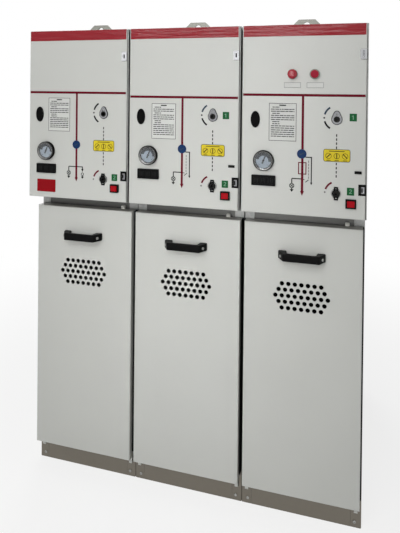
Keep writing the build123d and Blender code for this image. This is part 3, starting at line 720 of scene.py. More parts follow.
# %% Side branches
BRANCH_UP = 110.5
BRANCH_LEFT, BRANCH_RIGHT = -28.5, 23.0
BRANCH_LINE = 3.2
SYMBOL_LINE = 2.2
FOOT_TIP_UP, FOOT_TOP_UP = 70.0, 78.0
LAMP_UP, LAMP_RADIUS = 89.0, 6.5
LAMP_FOOT_WIDTH = 12.0
ARRESTER_LEAD_UP = 104.0
ARRESTER_TIP_UP, ARRESTER_HEAD = 93.0, (9.0, 11.0)
ARRESTER_RING_UP, ARRESTER_RADIUS = 86.0, 4.5
ARRESTER_TAIL_UP, ARRESTER_FOOT_WIDTH = 81.0, 11.0


def lamp_branch():
    """The left branch: down to a lamp symbol and on to an arrow."""
    reach = LAMP_RADIUS * math.sin(math.radians(45))
    x = BRANCH_LEFT
    lines = [stroke((x, BRANCH_UP), (0, BRANCH_UP), BRANCH_LINE)]
    lines.append(stroke((x, BRANCH_UP), (x, LAMP_UP + LAMP_RADIUS), BRANCH_LINE))
    lines += ring((x, LAMP_UP), LAMP_RADIUS, SYMBOL_LINE)
    for way in (reach, -reach):
        lines.append(stroke((x - reach, LAMP_UP - way), (x + reach, LAMP_UP + way), SYMBOL_LINE))
    lines.append(stroke((x, LAMP_UP - LAMP_RADIUS), (x, FOOT_TOP_UP), BRANCH_LINE))
    lines.append(arrow_head(x, FOOT_TIP_UP, LAMP_FOOT_WIDTH, FOOT_TOP_UP - FOOT_TIP_UP))
    return lines


def arrester_branch():
    """The right branch of the first bay: an arrow, a small ring and an arrow."""
    x = BRANCH_RIGHT
    lines = [stroke((0, BRANCH_UP), (x, BRANCH_UP), BRANCH_LINE)]
    lines.append(stroke((x, ARRESTER_LEAD_UP), (x, BRANCH_UP + BRANCH_LINE / 2), BRANCH_LINE))
    lines.append(arrow_head(x, ARRESTER_TIP_UP, *ARRESTER_HEAD))
    lines += ring((x, ARRESTER_RING_UP), ARRESTER_RADIUS, SYMBOL_LINE)
    lines.append(stroke((x, FOOT_TOP_UP), (x, ARRESTER_TAIL_UP), BRANCH_LINE))
    lines.append(arrow_head(x, FOOT_TIP_UP, ARRESTER_FOOT_WIDTH, FOOT_TOP_UP - FOOT_TIP_UP))
    return lines


print("branches leave the riser", BRANCH_UP, "mm up")

# %% [markdown]
# The other two bays have an earthing branch. It leaves the position disc, goes down the side and ends beside
# the open blade of the earthing switch. A dashed grey line ties that switch to the main one.

# %% Earthing branches
EARTH_ACROSS = {2: 25.0, 3: 28.7}
EARTH_START = 11.0
EARTH_TOP_UP, EARTH_LOW_UP = 176.0, 99.0
EARTH_HEAD_DROP, EARTH_HEAD = 6.0, (7.0, 8.0)
EARTH_BLADE = ((-17.0, 101.0), (-8.0, 109.0))
CONTACT_REACH, CONTACT_DROP = 9.0, 2.0
LINK_ACROSS = {2: 14.0, 3: 20.5}
LINK_LOW_UP, LINK_HIGH_UP = 112.0, 170.0
LINK_DASH, LINK_GAP = 7.0, 2.5


def earth_branch(bay):
    """The earthing branch: out of the disc, down the side and an open blade."""
    x = EARTH_ACROSS[bay]
    lines = [stroke((EARTH_START, EARTH_TOP_UP), (x, EARTH_TOP_UP), BRANCH_LINE)]
    lines.append(stroke((x, EARTH_LOW_UP), (x, EARTH_TOP_UP + BRANCH_LINE / 2), BRANCH_LINE))
    lines.append(arrow_head(x, EARTH_LOW_UP - EARTH_HEAD_DROP, *EARTH_HEAD))
    start, end = ((x + across, up) for across, up in EARTH_BLADE)
    lines.append(stroke(start, end, SYMBOL_LINE))
    lines.append(stroke((0, BRANCH_UP), (CONTACT_REACH, BRANCH_UP - CONTACT_DROP), SYMBOL_LINE))
    return lines


def dashes(across, low, high, dash, gap, width):
    """A dashed upright line."""
    lines = []
    up = low
    while up + dash <= high:
        lines.append(stroke((across, up), (across, up + dash), width))
        up += dash + gap
    return lines


for bay in BAYS:
    lines = lamp_branch() + (arrester_branch() if bay == 1 else earth_branch(bay))
    print_on_panel(f"mimic_branches_{bay}", bay, lines, inks["black_ink"], thickness=FINE_PRINT_THICK)
    if bay in LINK_ACROSS:
        link = dashes(LINK_ACROSS[bay], LINK_LOW_UP, LINK_HIGH_UP, LINK_DASH, LINK_GAP, SYMBOL_LINE)
        print_on_panel(f"mimic_link_{bay}", bay, link, inks["grey_ink"])
print("branches printed")

# %% [markdown]
# ## Round the lever sockets
#
# Beside each socket an arc shows which way the lever goes, with a dot for the middle position. A dashed line
# drops from the upper socket to the lower one, behind the yellow plate, and ties them together as one drive.

# %% Lever arcs
ARC_RADIUS = 36.0
ARC_LINE = 5.4
CLOSING_TURN, OPENING_TURN, EARTHING_TURN = (122, 164), (196, 238), (117, 161)
DOT_RADIUS, DOT_STEPS = 2.8, 12
SWITCH_ARC_CENTRE = (socket_across, switch_up + 3.8)
EARTH_ARC_CENTRE = {
    1: (socket_across, earth_up - 4.0),
    2: (socket_across, earth_up - 4.0),
    3: (socket_across + 4.0, earth_up - 0.5),
}
EARTH_DOT_RISE = 2.8
DRIVE_LOW_UP, DRIVE_HIGH_UP = 120.0, 252.0
DRIVE_DASH, DRIVE_GAP, DRIVE_LINE = 7.5, 4.5, 3.2

for bay in BAYS:
    upper = inks["black_ink"] if bay == 1 else inks["slate_blue_ink"]
    closing = [arc_band(SWITCH_ARC_CENTRE, ARC_RADIUS, ARC_LINE, *CLOSING_TURN)]
    print_on_panel(f"switch_arc_upper_{bay}", bay, closing, upper)
    opening = [arc_band(SWITCH_ARC_CENTRE, ARC_RADIUS, ARC_LINE, *OPENING_TURN)]
    opening.append(disc((SWITCH_ARC_CENTRE[0] - ARC_RADIUS, SWITCH_ARC_CENTRE[1]), DOT_RADIUS, DOT_STEPS))
    opening += dashes(socket_across, DRIVE_LOW_UP, DRIVE_HIGH_UP, DRIVE_DASH, DRIVE_GAP, DRIVE_LINE)
    print_on_panel(f"switch_arc_lower_{bay}", bay, opening, inks["black_ink"])
    centre = EARTH_ARC_CENTRE[bay]
    earthing = [arc_band(centre, ARC_RADIUS, ARC_LINE, *EARTHING_TURN)]
    print_on_panel(f"earth_arc_{bay}", bay, earthing, inks["crimson_ink"])
    dot = [disc((centre[0] - ARC_RADIUS, centre[1] + EARTH_DOT_RISE), DOT_RADIUS, DOT_STEPS)]
    print_on_panel(f"earth_dot_{bay}", bay, dot, inks["grey_ink"])
print("arcs of radius", ARC_RADIUS, "mm")

# %% [markdown]
# ## Notice plates
#
# Each panel carries a small notice plate: a pale vinyl sheet with a thin black border and rows of plain
# rules. The rules could be a texture, but as thin slabs they stay sharp, like the other prints. Their uneven
# lengths come from a seeded random source, so that each run gives the same ones.

# %% Notice plates
NOTICE_SIZE = (82.0, 114.0)
NOTICE_CORNER = 1.5
NOTICE_PLACE = {1: (-66.5, 286.0), 2: (-63.0, 272.5), 3: (-58.0, 279.2)}
NOTICE_LINE = 1.3
NOTICE_LIFT = 0.4
NOTICE_MARGIN, NOTICE_HEAD = 6.0, 7.0
TOP_BAR_HALF, TOP_BAR_DROP = 10.0, 1.0
RULE_ROWS, RULE_PITCH, RULE_TALL = 16, 6.3, 2.4
RULE_LENGTHS, RULE_GAP = (5.0, 15.0), 1.6
SHORT_ROWS, SHORT_START, SHORT_END = (1, 4, 8, 9), 4.0, 26.0


def rules(centre, dice):
    """A short bar, and under it rows of plain rules with uneven breaks."""
    left = centre[0] - NOTICE_SIZE[0] / 2 + NOTICE_MARGIN
    right = centre[0] + NOTICE_SIZE[0] / 2 - NOTICE_MARGIN
    top = centre[1] + NOTICE_SIZE[1] / 2 - NOTICE_HEAD
    bar_left, bar_right = centre[0] - TOP_BAR_HALF, centre[0] + TOP_BAR_HALF
    lines = [rectangle(bar_left, top - TOP_BAR_DROP, bar_right, top + RULE_TALL)]
    for row in range(1, RULE_ROWS):
        up = top - row * RULE_PITCH
        end = left + SHORT_END if row in SHORT_ROWS else right
        across = left + (SHORT_START if row in SHORT_ROWS else 0.0)
        while across < end:
            stop = min(across + dice.uniform(*RULE_LENGTHS), end)
            lines.append(rectangle(across, up, stop, up + RULE_TALL))
            across = stop + RULE_GAP
    return lines


for bay in BAYS:
    place = NOTICE_PLACE[bay]
    plate = [rounded(place, *NOTICE_SIZE, NOTICE_CORNER)]
    print_on_panel(f"notice_plate_{bay}", bay, plate, inks["notice_vinyl"], 0.0, NOTICE_LIFT)
    printed = {
        "notice_border": frame_lines(place, *NOTICE_SIZE, NOTICE_LINE),
        "notice_rules": rules(place, random.Random(bay)),
    }
    for name, lines in printed.items():
        print_on_panel(f"{name}_{bay}", bay, lines, inks["black_ink"], NOTICE_LIFT, FINE_PRINT_THICK)
print("notices of", NOTICE_SIZE, "mm")

# %% [markdown]
# ## Yellow position plates
#
# Between the sockets is a yellow plate with three small dials, which show the three places of the lever:
# turned left, upright and turned right. A dark outline runs round it, a plain rule lies over the dials and a
# short one under each.

# %% Yellow plates
YELLOW_PLACE = (socket_across + 1.0, 184.6)
YELLOW_SIZE = (76.5, 37.0)
YELLOW_CORNER = 6.0
YELLOW_LINE = 1.4
YELLOW_LIFT = 0.8
DIAL_PITCH, DIAL_DROP = 23.5, 1.5
DIAL_RADIUS, DIAL_LINE = 8.0, 1.2
POINTER_TURN, POINTER_LINE = (45.0, 90.0, 135.0), 2.6
OVER_HALF, OVER_LOW, OVER_HIGH = 22.0, 11.5, 13.5
UNDER_HALF, UNDER_LOW, UNDER_HIGH = 6.0, -14.0, -12.2


def band_between(outer, inner):
    """A closed band between two outlines with the same number of points, as quads."""
    after = [(index + 1) % len(outer) for index in range(len(outer))]
    return [[outer[i], outer[j], inner[j], inner[i]] for i, j in enumerate(after)]


for bay in BAYS:
    x, z = YELLOW_PLACE
    edge = rounded(YELLOW_PLACE, *YELLOW_SIZE, YELLOW_CORNER)
    print_on_panel(f"yellow_plate_{bay}", bay, [edge], inks["yellow_vinyl"], 0.0, YELLOW_LIFT)
    inside = [size - 2 * YELLOW_LINE for size in YELLOW_SIZE]
    marks = band_between(edge, rounded(YELLOW_PLACE, *inside, YELLOW_CORNER - YELLOW_LINE))
    marks.append(rectangle(x - OVER_HALF, z + OVER_LOW, x + OVER_HALF, z + OVER_HIGH))
    for step, turn in zip((-1, 0, 1), POINTER_TURN):
        centre = (x + step * DIAL_PITCH, z - DIAL_DROP)
        marks += ring(centre, DIAL_RADIUS, DIAL_LINE)
        marks.append(stroke(*arc(centre, DIAL_RADIUS, turn, turn + 180, 1), POINTER_LINE))
        left, right = centre[0] - UNDER_HALF, centre[0] + UNDER_HALF
        marks.append(rectangle(left, centre[1] + UNDER_LOW, right, centre[1] + UNDER_HIGH))
    print_on_panel(f"yellow_marks_{bay}", bay, marks, inks["black_ink"], YELLOW_LIFT, FINE_PRINT_THICK)
print("yellow plates at", [round(value) for value in YELLOW_PLACE])

# %% [markdown]
# ## Number labels, red plate and bare label plates
#
# Small green labels number the two lever positions. They carry plain numerals, drawn with strokes. The first
# bay has a bare red plate at the bottom left, and the last bay two bare label plates under its lamp and
# button.

# %% Small plates
LABEL_SIZE = (20.5, 22.5)
LABEL_CORNER = 1.0
LABEL_LIFT = 0.6
NUMERAL_LINE = 2.0
UPPER_LABEL = {2: (142.0, 295.0), 3: (146.0, 297.5)}
LOWER_LABEL = (141.0, 81.0)
RED_PLATE_PLACE, RED_PLATE_SIZE = (-114.5, 40.5), (71.0, 43.0)
RED_PLATE_CORNER, RED_PLATE_THICK = 2.0, 1.0
LAMP_LABELS = ((-30.0, 391.0), (37.0, 391.0))
LAMP_LABEL_SIZE = (49.0, 16.0)
LAMP_LABEL_LINE = 1.0


def numeral_one(centre):
    """A plain 1: a stem and a flag."""
    x, z = centre
    stem = rectangle(x - 1.2, z - 6, x + 1.2, z + 6)
    return [stem, stroke((x - 3.6, z + 2.8), (x - 0.8, z + 5.2), NUMERAL_LINE)]


def numeral_two(centre):
    """A plain 2: a bow, a slope and a foot."""
    x, z = centre
    bow = arc_band((x, z + 3.0), 2.8, NUMERAL_LINE, -30, 170)
    slope = stroke((x + 2.5, z + 1.4), (x - 3.3, z - 4.5), NUMERAL_LINE)
    return [bow, slope, rectangle(x - 4, z - 6, x + 4, z - 4)]


for bay in BAYS:
    plates = [(LOWER_LABEL, numeral_two)]
    if bay in UPPER_LABEL:
        plates.append((UPPER_LABEL[bay], numeral_one))
    labels = [rounded(place, *LABEL_SIZE, LABEL_CORNER) for place, numeral in plates]
    print_on_panel(f"green_labels_{bay}", bay, labels, inks["green_vinyl"], 0.0, LABEL_LIFT)
    numerals = [outline for place, numeral in plates for outline in numeral(place)]
    green_ink = inks["pale_green_ink"]
    print_on_panel(f"green_numerals_{bay}", bay, numerals, green_ink, LABEL_LIFT, FINE_PRINT_THICK)

red_plate = [rounded(RED_PLATE_PLACE, *RED_PLATE_SIZE, RED_PLATE_CORNER)]
print_on_panel("red_plate", 1, red_plate, inks["red_vinyl"], 0.0, RED_PLATE_THICK)
label_plates = [rounded(place, *LAMP_LABEL_SIZE, LABEL_CORNER) for place in LAMP_LABELS]
print_on_panel("lamp_label_plates", 3, label_plates, inks["notice_vinyl"], 0.0, LABEL_LIFT)
label_borders = []
for place in LAMP_LABELS:
    label_borders += frame_lines(place, *LAMP_LABEL_SIZE, LAMP_LABEL_LINE)
print_on_panel("lamp_label_borders", 3, label_borders, inks["grey_ink"], LABEL_LIFT, FINE_PRINT_THICK)
print("labels placed")

# %% [markdown]
# ## Dial scale
#
# The gauge's dial has ticks round three quarters of a circle and a black rim. It lies behind glass at the
# bottom of its case, so the marks sit a hair in front of it. A dark band over the dial's upper half is
# painted
# shadow and painted reflection: the case's shadow and the dark reflection in the glass.

# %% Dial marks
dial_low, dial_high = box_of("gauge_dials")
dial_radius = (dial_high.z - dial_low.z) / 2
dial_up = (dial_high.z + dial_low.z) / 2 - panel_bottom
dial_across = dial_low.x + dial_radius - panel_middle[1]
dial_lift = panel_face - dial_low.y
dial_centre = (dial_across, dial_up)
TICKS, LONG_EVERY = 21, 5
TICK_START, TICK_END, TICK_SHARE = 225.0, -45.0, 0.84
LONG_TICK, SHORT_TICK = (5.0, 1.1), (3.0, 0.7)
RIM_WIDTH, RIM_THICK = 2.4, 0.3
# Painted shadow and reflection: a dark band over the dial's upper half.
DIAL_SHADE_SHARE, DIAL_SHADE_WIDTH, DIAL_SHADE_THICK = 0.76, 9.0, 0.1
DIAL_SHADE_TURN = (-10, 170)

ticks = []
for index in range(TICKS):
    turn = math.radians(TICK_START + (TICK_END - TICK_START) * index / (TICKS - 1))
    way = Vector((math.cos(turn), math.sin(turn)))
    length, width = SHORT_TICK if index % LONG_EVERY else LONG_TICK
    start = Vector(dial_centre) + way * (TICK_SHARE * dial_radius - length)
    ticks.append(stroke(start, start + way * length, width))
rim = ring(dial_centre, dial_radius - RIM_WIDTH / 2, RIM_WIDTH)
dial_shade_band = [arc_band(dial_centre, DIAL_SHADE_SHARE * dial_radius, DIAL_SHADE_WIDTH, *DIAL_SHADE_TURN)]
for bay in BAYS:
    for name, marks, ink, thickness in (
        ("dial_ticks", ticks, "black_ink", FINE_PRINT_THICK),
        ("dial_rim", rim, "black_ink", RIM_THICK),
        ("painted_dial_shade", dial_shade_band, "dial_shade_grey", DIAL_SHADE_THICK),
    ):
        print_on_panel(f"{name}_{bay}", bay, marks, inks[ink], dial_lift, thickness)
print("dial of radius", round(dial_radius, 1), "mm at", round(dial_across), round(dial_up))

# %% [markdown]
# The CAD needle is a plain wedge. A real one is stamped from thin sheet: a blade with a blunt tip, a boss in
# the middle and a wider tail that balances it. It stands for the CAD needle.

# %% Needles
NEEDLE_LIFT, NEEDLE_THICK = 0.6, 0.5
NEEDLE_TURN = 68.0
BLADE_LENGTH, BLADE_WIDTH, TIP_WIDTH = 17.0, 4.8, 3.2
TAIL_LENGTH, TAIL_WIDTH = 10.0, 5.0
BOSS_RADIUS, BOSS_PROUD = 3.4, 0.8


def taper(length, width, end_width):
    """A flat bar along the x axis that changes its width."""
    return [(0, -width / 2), (length, -end_width / 2), (length, end_width / 2), (0, width / 2)]


def turned(points, centre, degrees):
    """Points drawn along the x axis, turned about a centre."""
    cosine, sine = math.cos(math.radians(degrees)), math.sin(math.radians(degrees))
    return [(centre[0] + cosine * x - sine * z, centre[1] + sine * x + cosine * z) for x, z in points]


blade = taper(BLADE_LENGTH, BLADE_WIDTH, TIP_WIDTH)
tail = taper(-TAIL_LENGTH, BLADE_WIDTH, TAIL_WIDTH)
mesh = bmesh.new()
for bay in BAYS:
    centre = (panel_middle[bay] + dial_across, panel_bottom + dial_up)
    back = panel_face - dial_lift - NEEDLE_LIFT
    for points in (blade, tail):
        add_slab(mesh, turned(points, centre, NEEDLE_TURN), back, back - NEEDLE_THICK)
    add_slab(mesh, disc(centre, BOSS_RADIUS), back + NEEDLE_LIFT, back - BOSS_PROUD)
needles = add_piece("gauge_blades", mesh, moulded["black_needle_enamel"])
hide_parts("gauge_needles")
print("needles turned to", NEEDLE_TURN, "degrees")

# %% [markdown]
# ## Washers and gaskets
#
# The earthing socket's black bezel has a bright washer let into it, seen as two crescents between the keys.
# Under the pear-shaped escutcheon of the switch socket a rubber gasket shows as a dark line. The line
# follows the escutcheon's outline: two circles joined by their tangents. The lower locks sit on a gasket
# too.

# %% Washers and gaskets
WASHER_RADIUS, WASHER_WIDTH, WASHER_THICK = 13.2, 2.2, 0.3
CRESCENT_STARTS, CRESCENT_TURN = (-55, 125), 110
PEAR_LOW, PEAR_HIGH, PEAR_RISE = 14.5, 8.0, 16.0
GASKET_LINE, GASKET_PROUD = 1.6, 1.2
LOCK_WIDTH, LOCK_TALL = 18.0, 29.0
bezel_lift = panel_face - box_of("earth_bezels")[0].y
lock_low, lock_high = box_of("panel_locks")
lock_across = lock_high.x - LOCK_WIDTH / 2 - panel_middle[3]
lock_ups = [up - panel_bottom for up in (lock_low.z + LOCK_TALL / 2, lock_high.z - LOCK_TALL / 2)]


def pear(centre, margin, steps=16):
    """A pear's outline with a margin all round: the arc of its upper circle, then that of its lower one."""
    lean = math.degrees(math.acos((PEAR_LOW - PEAR_HIGH) / PEAR_RISE))
    upper = arc((centre[0], centre[1] + PEAR_RISE), PEAR_HIGH + margin, 90 - lean, 90 + lean, steps)
    return upper + arc(centre, PEAR_LOW + margin, 90 + lean, 450 - lean, steps)


crescents = []
for start in CRESCENT_STARTS:
    end = start + CRESCENT_TURN
    crescents.append(arc_band((socket_across, earth_up), WASHER_RADIUS, WASHER_WIDTH, start, end))
switch_place = (socket_across, switch_up)
gaskets = band_between(pear(switch_place, GASKET_LINE), pear(switch_place, 0.0))
gasket_size = (LOCK_WIDTH + 2 * GASKET_LINE, LOCK_TALL + 2 * GASKET_LINE)
gaskets += frame_lines((lock_across, lock_ups[0]), *gasket_size, GASKET_LINE)
zinc, rubber = plated["bright_zinc_plate"], moulded["black_moulded_rubber"]
for bay in BAYS:
    washer = print_on_panel(f"earth_washer_{bay}", bay, crescents, zinc, bezel_lift, WASHER_THICK)
    print_on_panel(f"gaskets_{bay}", bay, gaskets, rubber, 0.0, GASKET_PROUD)
print("locks at", [round(up) for up in lock_ups], "mm up")

# %% [markdown]
# ## Lock faces
#
# Each lock has a slit for its key. A rubber lip on three sides and a blackened flap on the left darken the
# lower locks. One upper key slit is shut by a polished half-round cover, which catches a lamp along its whole
# length.

# %% Lock faces
LOCK_PLUG_DEPTH = 1.0
SLIT_SIZES = ((3.6, 17.0), (4.4, 15.0))
LIP_TALL, LIP_WIDE = 4.6, 2.6
FLAP_RIGHT, FLAP_THICK = -2.2, 0.4
COVERED_BAY = 3
COVER_RADIUS, COVER_TALL, COVER_STEPS = 2.6, 23.0, 12
lock_front = panel_face - lock_low.y
lock_lift = lock_front - LOCK_PLUG_DEPTH
left, right = lock_across - LOCK_WIDTH / 2, lock_across + LOCK_WIDTH / 2
low, high = lock_ups[0] - LOCK_TALL / 2, lock_ups[0] + LOCK_TALL / 2
lip_low, lip_high = low + LIP_TALL, high - LIP_TALL

slits = []
for up, (width, tall) in zip(lock_ups, SLIT_SIZES):
    corner = (lock_across - width / 2, up - tall / 2)
    slits.append(rectangle(*corner, corner[0] + width, corner[1] + tall))
lips = [rectangle(left, low, right, lip_low), rectangle(left, lip_high, right, high)]
lips.append(rectangle(right - LIP_WIDE, lip_low, right, lip_high))
flaps = [rectangle(left, lip_low, lock_across + FLAP_RIGHT, lip_high)]
for bay in BAYS:
    open_slits = slits[:1] if bay == COVERED_BAY else slits
    print_on_panel(f"lock_slits_{bay}", bay, open_slits, inks["black_ink"], lock_lift)
    lip = print_on_panel(f"lock_lips_{bay}", bay, lips, rubber, lock_front, FLAP_THICK)
    blackened = plated["blackened_oiled_steel"]
    flap = print_on_panel(f"lock_flap_{bay}", bay, flaps, blackened, lock_front, FLAP_THICK)

mesh = bmesh.new()
cover_place = (panel_middle[COVERED_BAY] + lock_across, lock_low.y + LOCK_PLUG_DEPTH)
cover_low = panel_bottom + lock_ups[1] - COVER_TALL / 2
cover_plan = arc(cover_place, COVER_RADIUS, 180, 360, COVER_STEPS)
add_upright(mesh, cover_plan, cover_low, cover_low + COVER_TALL)
cover = add_piece("key_cover", mesh, plated["polished_chrome"])
print("key cover", COVER_TALL, "mm tall")

# %% [markdown]
# ## Position disc and indicator cells
#
# The blue disc carries a faint slash that shows the switch open. Each cell of the voltage indicator has a
# small window with upright bars.

# %% Disc slash and cells
SLASH_RADIUS, SLASH_TURN, SLASH_LINE = 8.0, 28.0, 2.4
CELL_PITCH, CELL_DEPTH = 22.0, 1.0
BAR_PITCH, BAR_WIDTH, BAR_TALL = 5.0, 1.8, 15.0
disc_up = middle_of("position_discs").z - panel_bottom
disc_lift = panel_face - box_of("position_discs")[0].y
indicator_up = middle_of("voltage_indicators").z - panel_bottom
indicator_lift = panel_face - box_of("voltage_indicators")[0].y - CELL_DEPTH

slash = [stroke(*arc((0, disc_up), SLASH_RADIUS, SLASH_TURN, SLASH_TURN + 180, 1), SLASH_LINE)]
bars = []
for cell in (-1, 0, 1):
    for bar in (-1, 0, 1):
        left = dial_across + cell * CELL_PITCH + bar * BAR_PITCH - BAR_WIDTH / 2
        low = indicator_up - BAR_TALL / 2
        bars.append(rectangle(left, low, left + BAR_WIDTH, low + BAR_TALL))
for bay in BAYS:
    blue_ink = inks["slate_blue_ink"]
    print_on_panel(f"disc_slash_{bay}", bay, slash, blue_ink, disc_lift, FINE_PRINT_THICK)
    print_on_panel(f"indicator_bars_{bay}", bay, bars, inks["cell_grey"], indicator_lift)
print(len(bars), "bars in each indicator")

# %% [markdown]
# ## Edge strips
#
# Beside each panel, on its lock side, the wall's front edge shows as a narrow strip of bare sheet, folded
# back on itself so that it isn't sharp. It half fills the gap between two panels. Its plan view is a hairpin
# with a round nose, drawn once and raised over the panel's height.

# %% Edge strips
STRIP_WIDTH = 4.0
STRIP_BACK, STRIP_NOSE = 26.0, 3.0
STRIP_GAP = 0.4
NOSE_STEPS = 8


def hairpin(across, front, back, width):
    """The plan of a blade with a round nose in front."""
    nose = arc((across, front + width / 2), width / 2, 180, 360, NOSE_STEPS)
    return nose + [(across + width / 2, back), (across - width / 2, back)]


mesh = bmesh.new()
for bay in BAYS:
    across = panel_middle[bay] + panel_half + STRIP_GAP + STRIP_WIDTH / 2
    plan = hairpin(across, panel_face + STRIP_NOSE, panel_face + STRIP_BACK, STRIP_WIDTH)
    add_upright(mesh, plan, panel_bottom, panel_bottom + panel_height)
strips = add_piece("edge_strips", mesh, zinc_sheet)
print("edge strips", STRIP_WIDTH, "mm wide")

# %% [markdown]
# ## Rubber fins and tongue caps
#
# The gaps between the doors look black. A black rubber fin stands in each, on the wall's front edge, and its
# black is painted shade, for the shade deep in the gap. A fin is a blade with a round nose, so it is drawn in
# plan and raised, as the edge strips are. Each door has a tongue on its top edge that works the interlock,
# and a white nylon cap on the tongue makes it slide. The cap is pale like the tongue's plated block, and its
# white is partly painted light, for light falling on the tongue.

# %% Fins and caps
FIN_INSET, FIN_WIDTH, FIN_STAND, FIN_TRIM = 4.0, 4.0, 20.0, 2.0
RAIL_GAP = 42.0
DOOR_CLEARANCE = 5.0
TONGUE_ACROSS = 135.0
CAP_SIZE, CAP_CORNER = (13.0, 11.0), 2.5
CAP_BEHIND, CAP_AHEAD = 1.0, 6.0
half_pitch = (panel_middle[2] - panel_middle[1]) / 2
wall_front = box_of("bay_1_side_walls")[0].y
door_top = panel_bottom - RAIL_GAP
door_back = wall_front - DOOR_CLEARANCE
fin_low = box_of("kick_channels")[1].z + FIN_TRIM

# Painted shade: black fins fill the gaps between the doors.
fins = bmesh.new()
for bay in BAYS:
    for side in (-1, 1):
        across = panel_middle[bay] + side * (half_pitch - FIN_INSET)
        plan = hairpin(across, wall_front - FIN_STAND, wall_front, FIN_WIDTH)
        add_upright(fins, plan, fin_low, door_top - FIN_TRIM)
    # The white cap is the tongue's pale block, whiter still as partly painted light.
    cap = bmesh.new()
    cap_middle = (panel_middle[bay] + TONGUE_ACROSS, door_top + CAP_SIZE[1] / 2)
    outline = rounded(cap_middle, *CAP_SIZE, CAP_CORNER)
    add_slab(cap, outline, door_back + CAP_BEHIND, door_back - CAP_AHEAD)
    add_piece(f"painted_light_tongue_cap_{bay}", cap, moulded["white_moulded_nylon"], f"door_{bay}")
gap_shade_fin_piece = add_piece("door_gap_shade_fins", fins, rubber)
print("fins from", round(fin_low), "to", round(door_top - FIN_TRIM), "mm")

# %% [markdown]
# ## Gauge collars and screws
#
# The gauge sits in a black collar, which draws a dark line round it. Inside the collar a burnished ring
# slopes down to the glass, with its lower half turned up to the lamp and its upper half turned down. Collars,
# rings and screw heads are turned shapes, so one function makes them: it takes rows of radius and rise, one
# pair for each step round the axis, and joins each row to the next.

# %% Turned shapes
TURN_STEPS = 36
FRONT, BACK, UP = (0, -1, 0), (0, 1, 0), (0, 0, 1)
COLLAR_PROFILE = ((31.4, 0.1), (31.4, 10.2), (30.6, 11.6), (28.8, 11.6), (28.8, 0.1))
SLOPE_PROFILE = ((28.8, 10.02), (28.8, 11.4), (25.4, 10.2), (25.4, 10.02))


def add_turned(mesh, place, outward, rows, hollow):
    """Adds a turned shape at a place in millimetres; a hollow one closes on itself, a solid one gets ends."""
    turn = Vector(outward).to_track_quat("Z", "Y").to_matrix()
    rings = []
    for row in rows:
        points = []
        for step, (radius, rise) in enumerate(row):
            angle = 2 * math.pi * step / len(row)
            local = Vector((radius * math.cos(angle), radius * math.sin(angle), rise))
            points.append(mesh.verts.new((Vector(place) + turn @ local) * MM))
        rings.append(points)
    if hollow:
        rings.append(rings[0])
    else:
        mesh.faces.new(rings[0][::-1])
        mesh.faces.new(rings[-1])
    for low, high in zip(rings, rings[1:]):
        for index in range(len(low)):
            after = (index + 1) % len(low)
            mesh.faces.new((low[index], low[after], high[after], high[index]))


for name, profile, finish, slot in (
    ("gauge_collars", COLLAR_PROFILE, rubber, "black_rubber"),
    ("gauge_slopes", SLOPE_PROFILE, plated["burnished_steel"], "chrome_bezel"),
):
    mesh = bmesh.new()
    for bay in BAYS:
        place = (panel_middle[bay] + dial_across, panel_face, panel_bottom + dial_up)
        add_turned(mesh, place, FRONT, [[corner] * TURN_STEPS for corner in profile], hollow=True)
    add_piece(name, mesh, finish)
print("collars of radius", COLLAR_PROFILE[0][0], "mm")

# %% [markdown]
# Sheet metal like this is held by button-head screws with a hexagon socket: a rim, a dome, and a six-sided
# hole. The hole's rows follow a hexagon, so that it has flats. All the screws of the cabinets are one piece.

# %% Screw heads
HEAD_PROFILE = ((1.0, 0.0), (1.0, 0.22), (0.9, 0.42), (0.7, 0.56))
SOCKET_SHARE = 0.46
SOCKET_DEPTH_SHARE = 0.2
FOOT_SCREW_ACROSS, FOOT_SCREW_UP, FOOT_SCREW_RADIUS = 167.0, 17.5, 5.0
COVER_SCREW_INSET, COVER_SCREW_RADIUS = 14.0, 6.0
COVER_SCREW_ROWS = (130.0, 500.0, 930.0, 990.0, 1250.0, 1500.0)
ROOF_SCREW_DEPTHS = (-240.0, 60.0, 400.0)
LUG_FOOT_TOP = 6.0
LUG_BOLT_ACROSS, LUG_BOLT_INSET, LUG_BOLT_RADIUS = 28.0, 27.0, 7.0
cover_face = box_of("back_covers")[1].y
roof_top = box_of("roof_panels")[1].z
lug_low, lug_high = box_of("lifting_lugs")
lug_bolt_depths = (lug_low.y + LUG_BOLT_INSET, lug_high.y - LUG_BOLT_INSET)


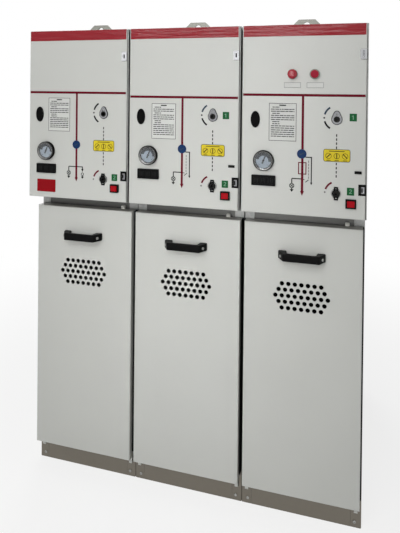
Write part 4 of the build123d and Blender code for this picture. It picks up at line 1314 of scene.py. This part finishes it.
def add_screw(mesh, place, outward, radius):
    """Adds a button-head screw at a place in millimetres, facing outward."""
    rows = [[(share * radius, up * radius)] * TURN_STEPS for share, up in HEAD_PROFILE]
    angles = [2 * math.pi * step / TURN_STEPS for step in range(TURN_STEPS)]
    flats = [math.cos(math.pi / 6) / math.cos(a % (math.pi / 3) - math.pi / 6) for a in angles]
    for up in (HEAD_PROFILE[-1][1], SOCKET_DEPTH_SHARE):
        rows.append([(SOCKET_SHARE * flat * radius, up * radius) for flat in flats])
    add_turned(mesh, place, outward, rows, hollow=False)


mesh = bmesh.new()
count = 0
for bay in BAYS:
    for side in (-1, 1):
        across = panel_middle[bay] + side * FOOT_SCREW_ACROSS
        places = [((across, wall_front, FOOT_SCREW_UP), FRONT, FOOT_SCREW_RADIUS)]
        edge = panel_middle[bay] + side * (half_pitch - COVER_SCREW_INSET)
        places += [((edge, cover_face, up), BACK, COVER_SCREW_RADIUS) for up in COVER_SCREW_ROWS]
        places += [((edge, depth, roof_top), UP, COVER_SCREW_RADIUS) for depth in ROOF_SCREW_DEPTHS]
        across = panel_middle[bay] + side * LUG_BOLT_ACROSS
        lug_top = roof_top + LUG_FOOT_TOP
        places += [((across, depth, lug_top), UP, LUG_BOLT_RADIUS) for depth in lug_bolt_depths]
        for place, outward, radius in places:
            add_screw(mesh, place, outward, radius)
            count += 1
screws = add_piece("cabinet_screws", mesh, zinc)
print(count, "screws on the cabinets")

# %% [markdown]
# Each handle is held by two screws, sunk into the sloping outer faces of its legs. They ride on the door,
# because they go with it when it is lifted.

# %% Handle screws
LEG_RUN = 17.0
LEG_RISE = (7.0, 37.0)
HANDLE_SCREW_RADIUS = 4.6
leg_middle = sum(LEG_RISE) / 2

for bay in BAYS:
    low, high = box_of(f"handle_{bay}")
    middle_up = (low.z + high.z) / 2
    mesh = bmesh.new()
    for end, side in ((low.x, -1), (high.x, 1)):
        outward = (side * (LEG_RISE[1] - LEG_RISE[0]), -LEG_RUN, 0)
        place = (end - side * LEG_RUN / 2, high.y - leg_middle, middle_up)
        add_screw(mesh, place, outward, HANDLE_SCREW_RADIUS)
    handle_screws = add_piece(f"handle_screws_{bay}", mesh, zinc, f"door_{bay}")
print("handle screws", round(high.x - low.x - LEG_RUN), "mm apart")
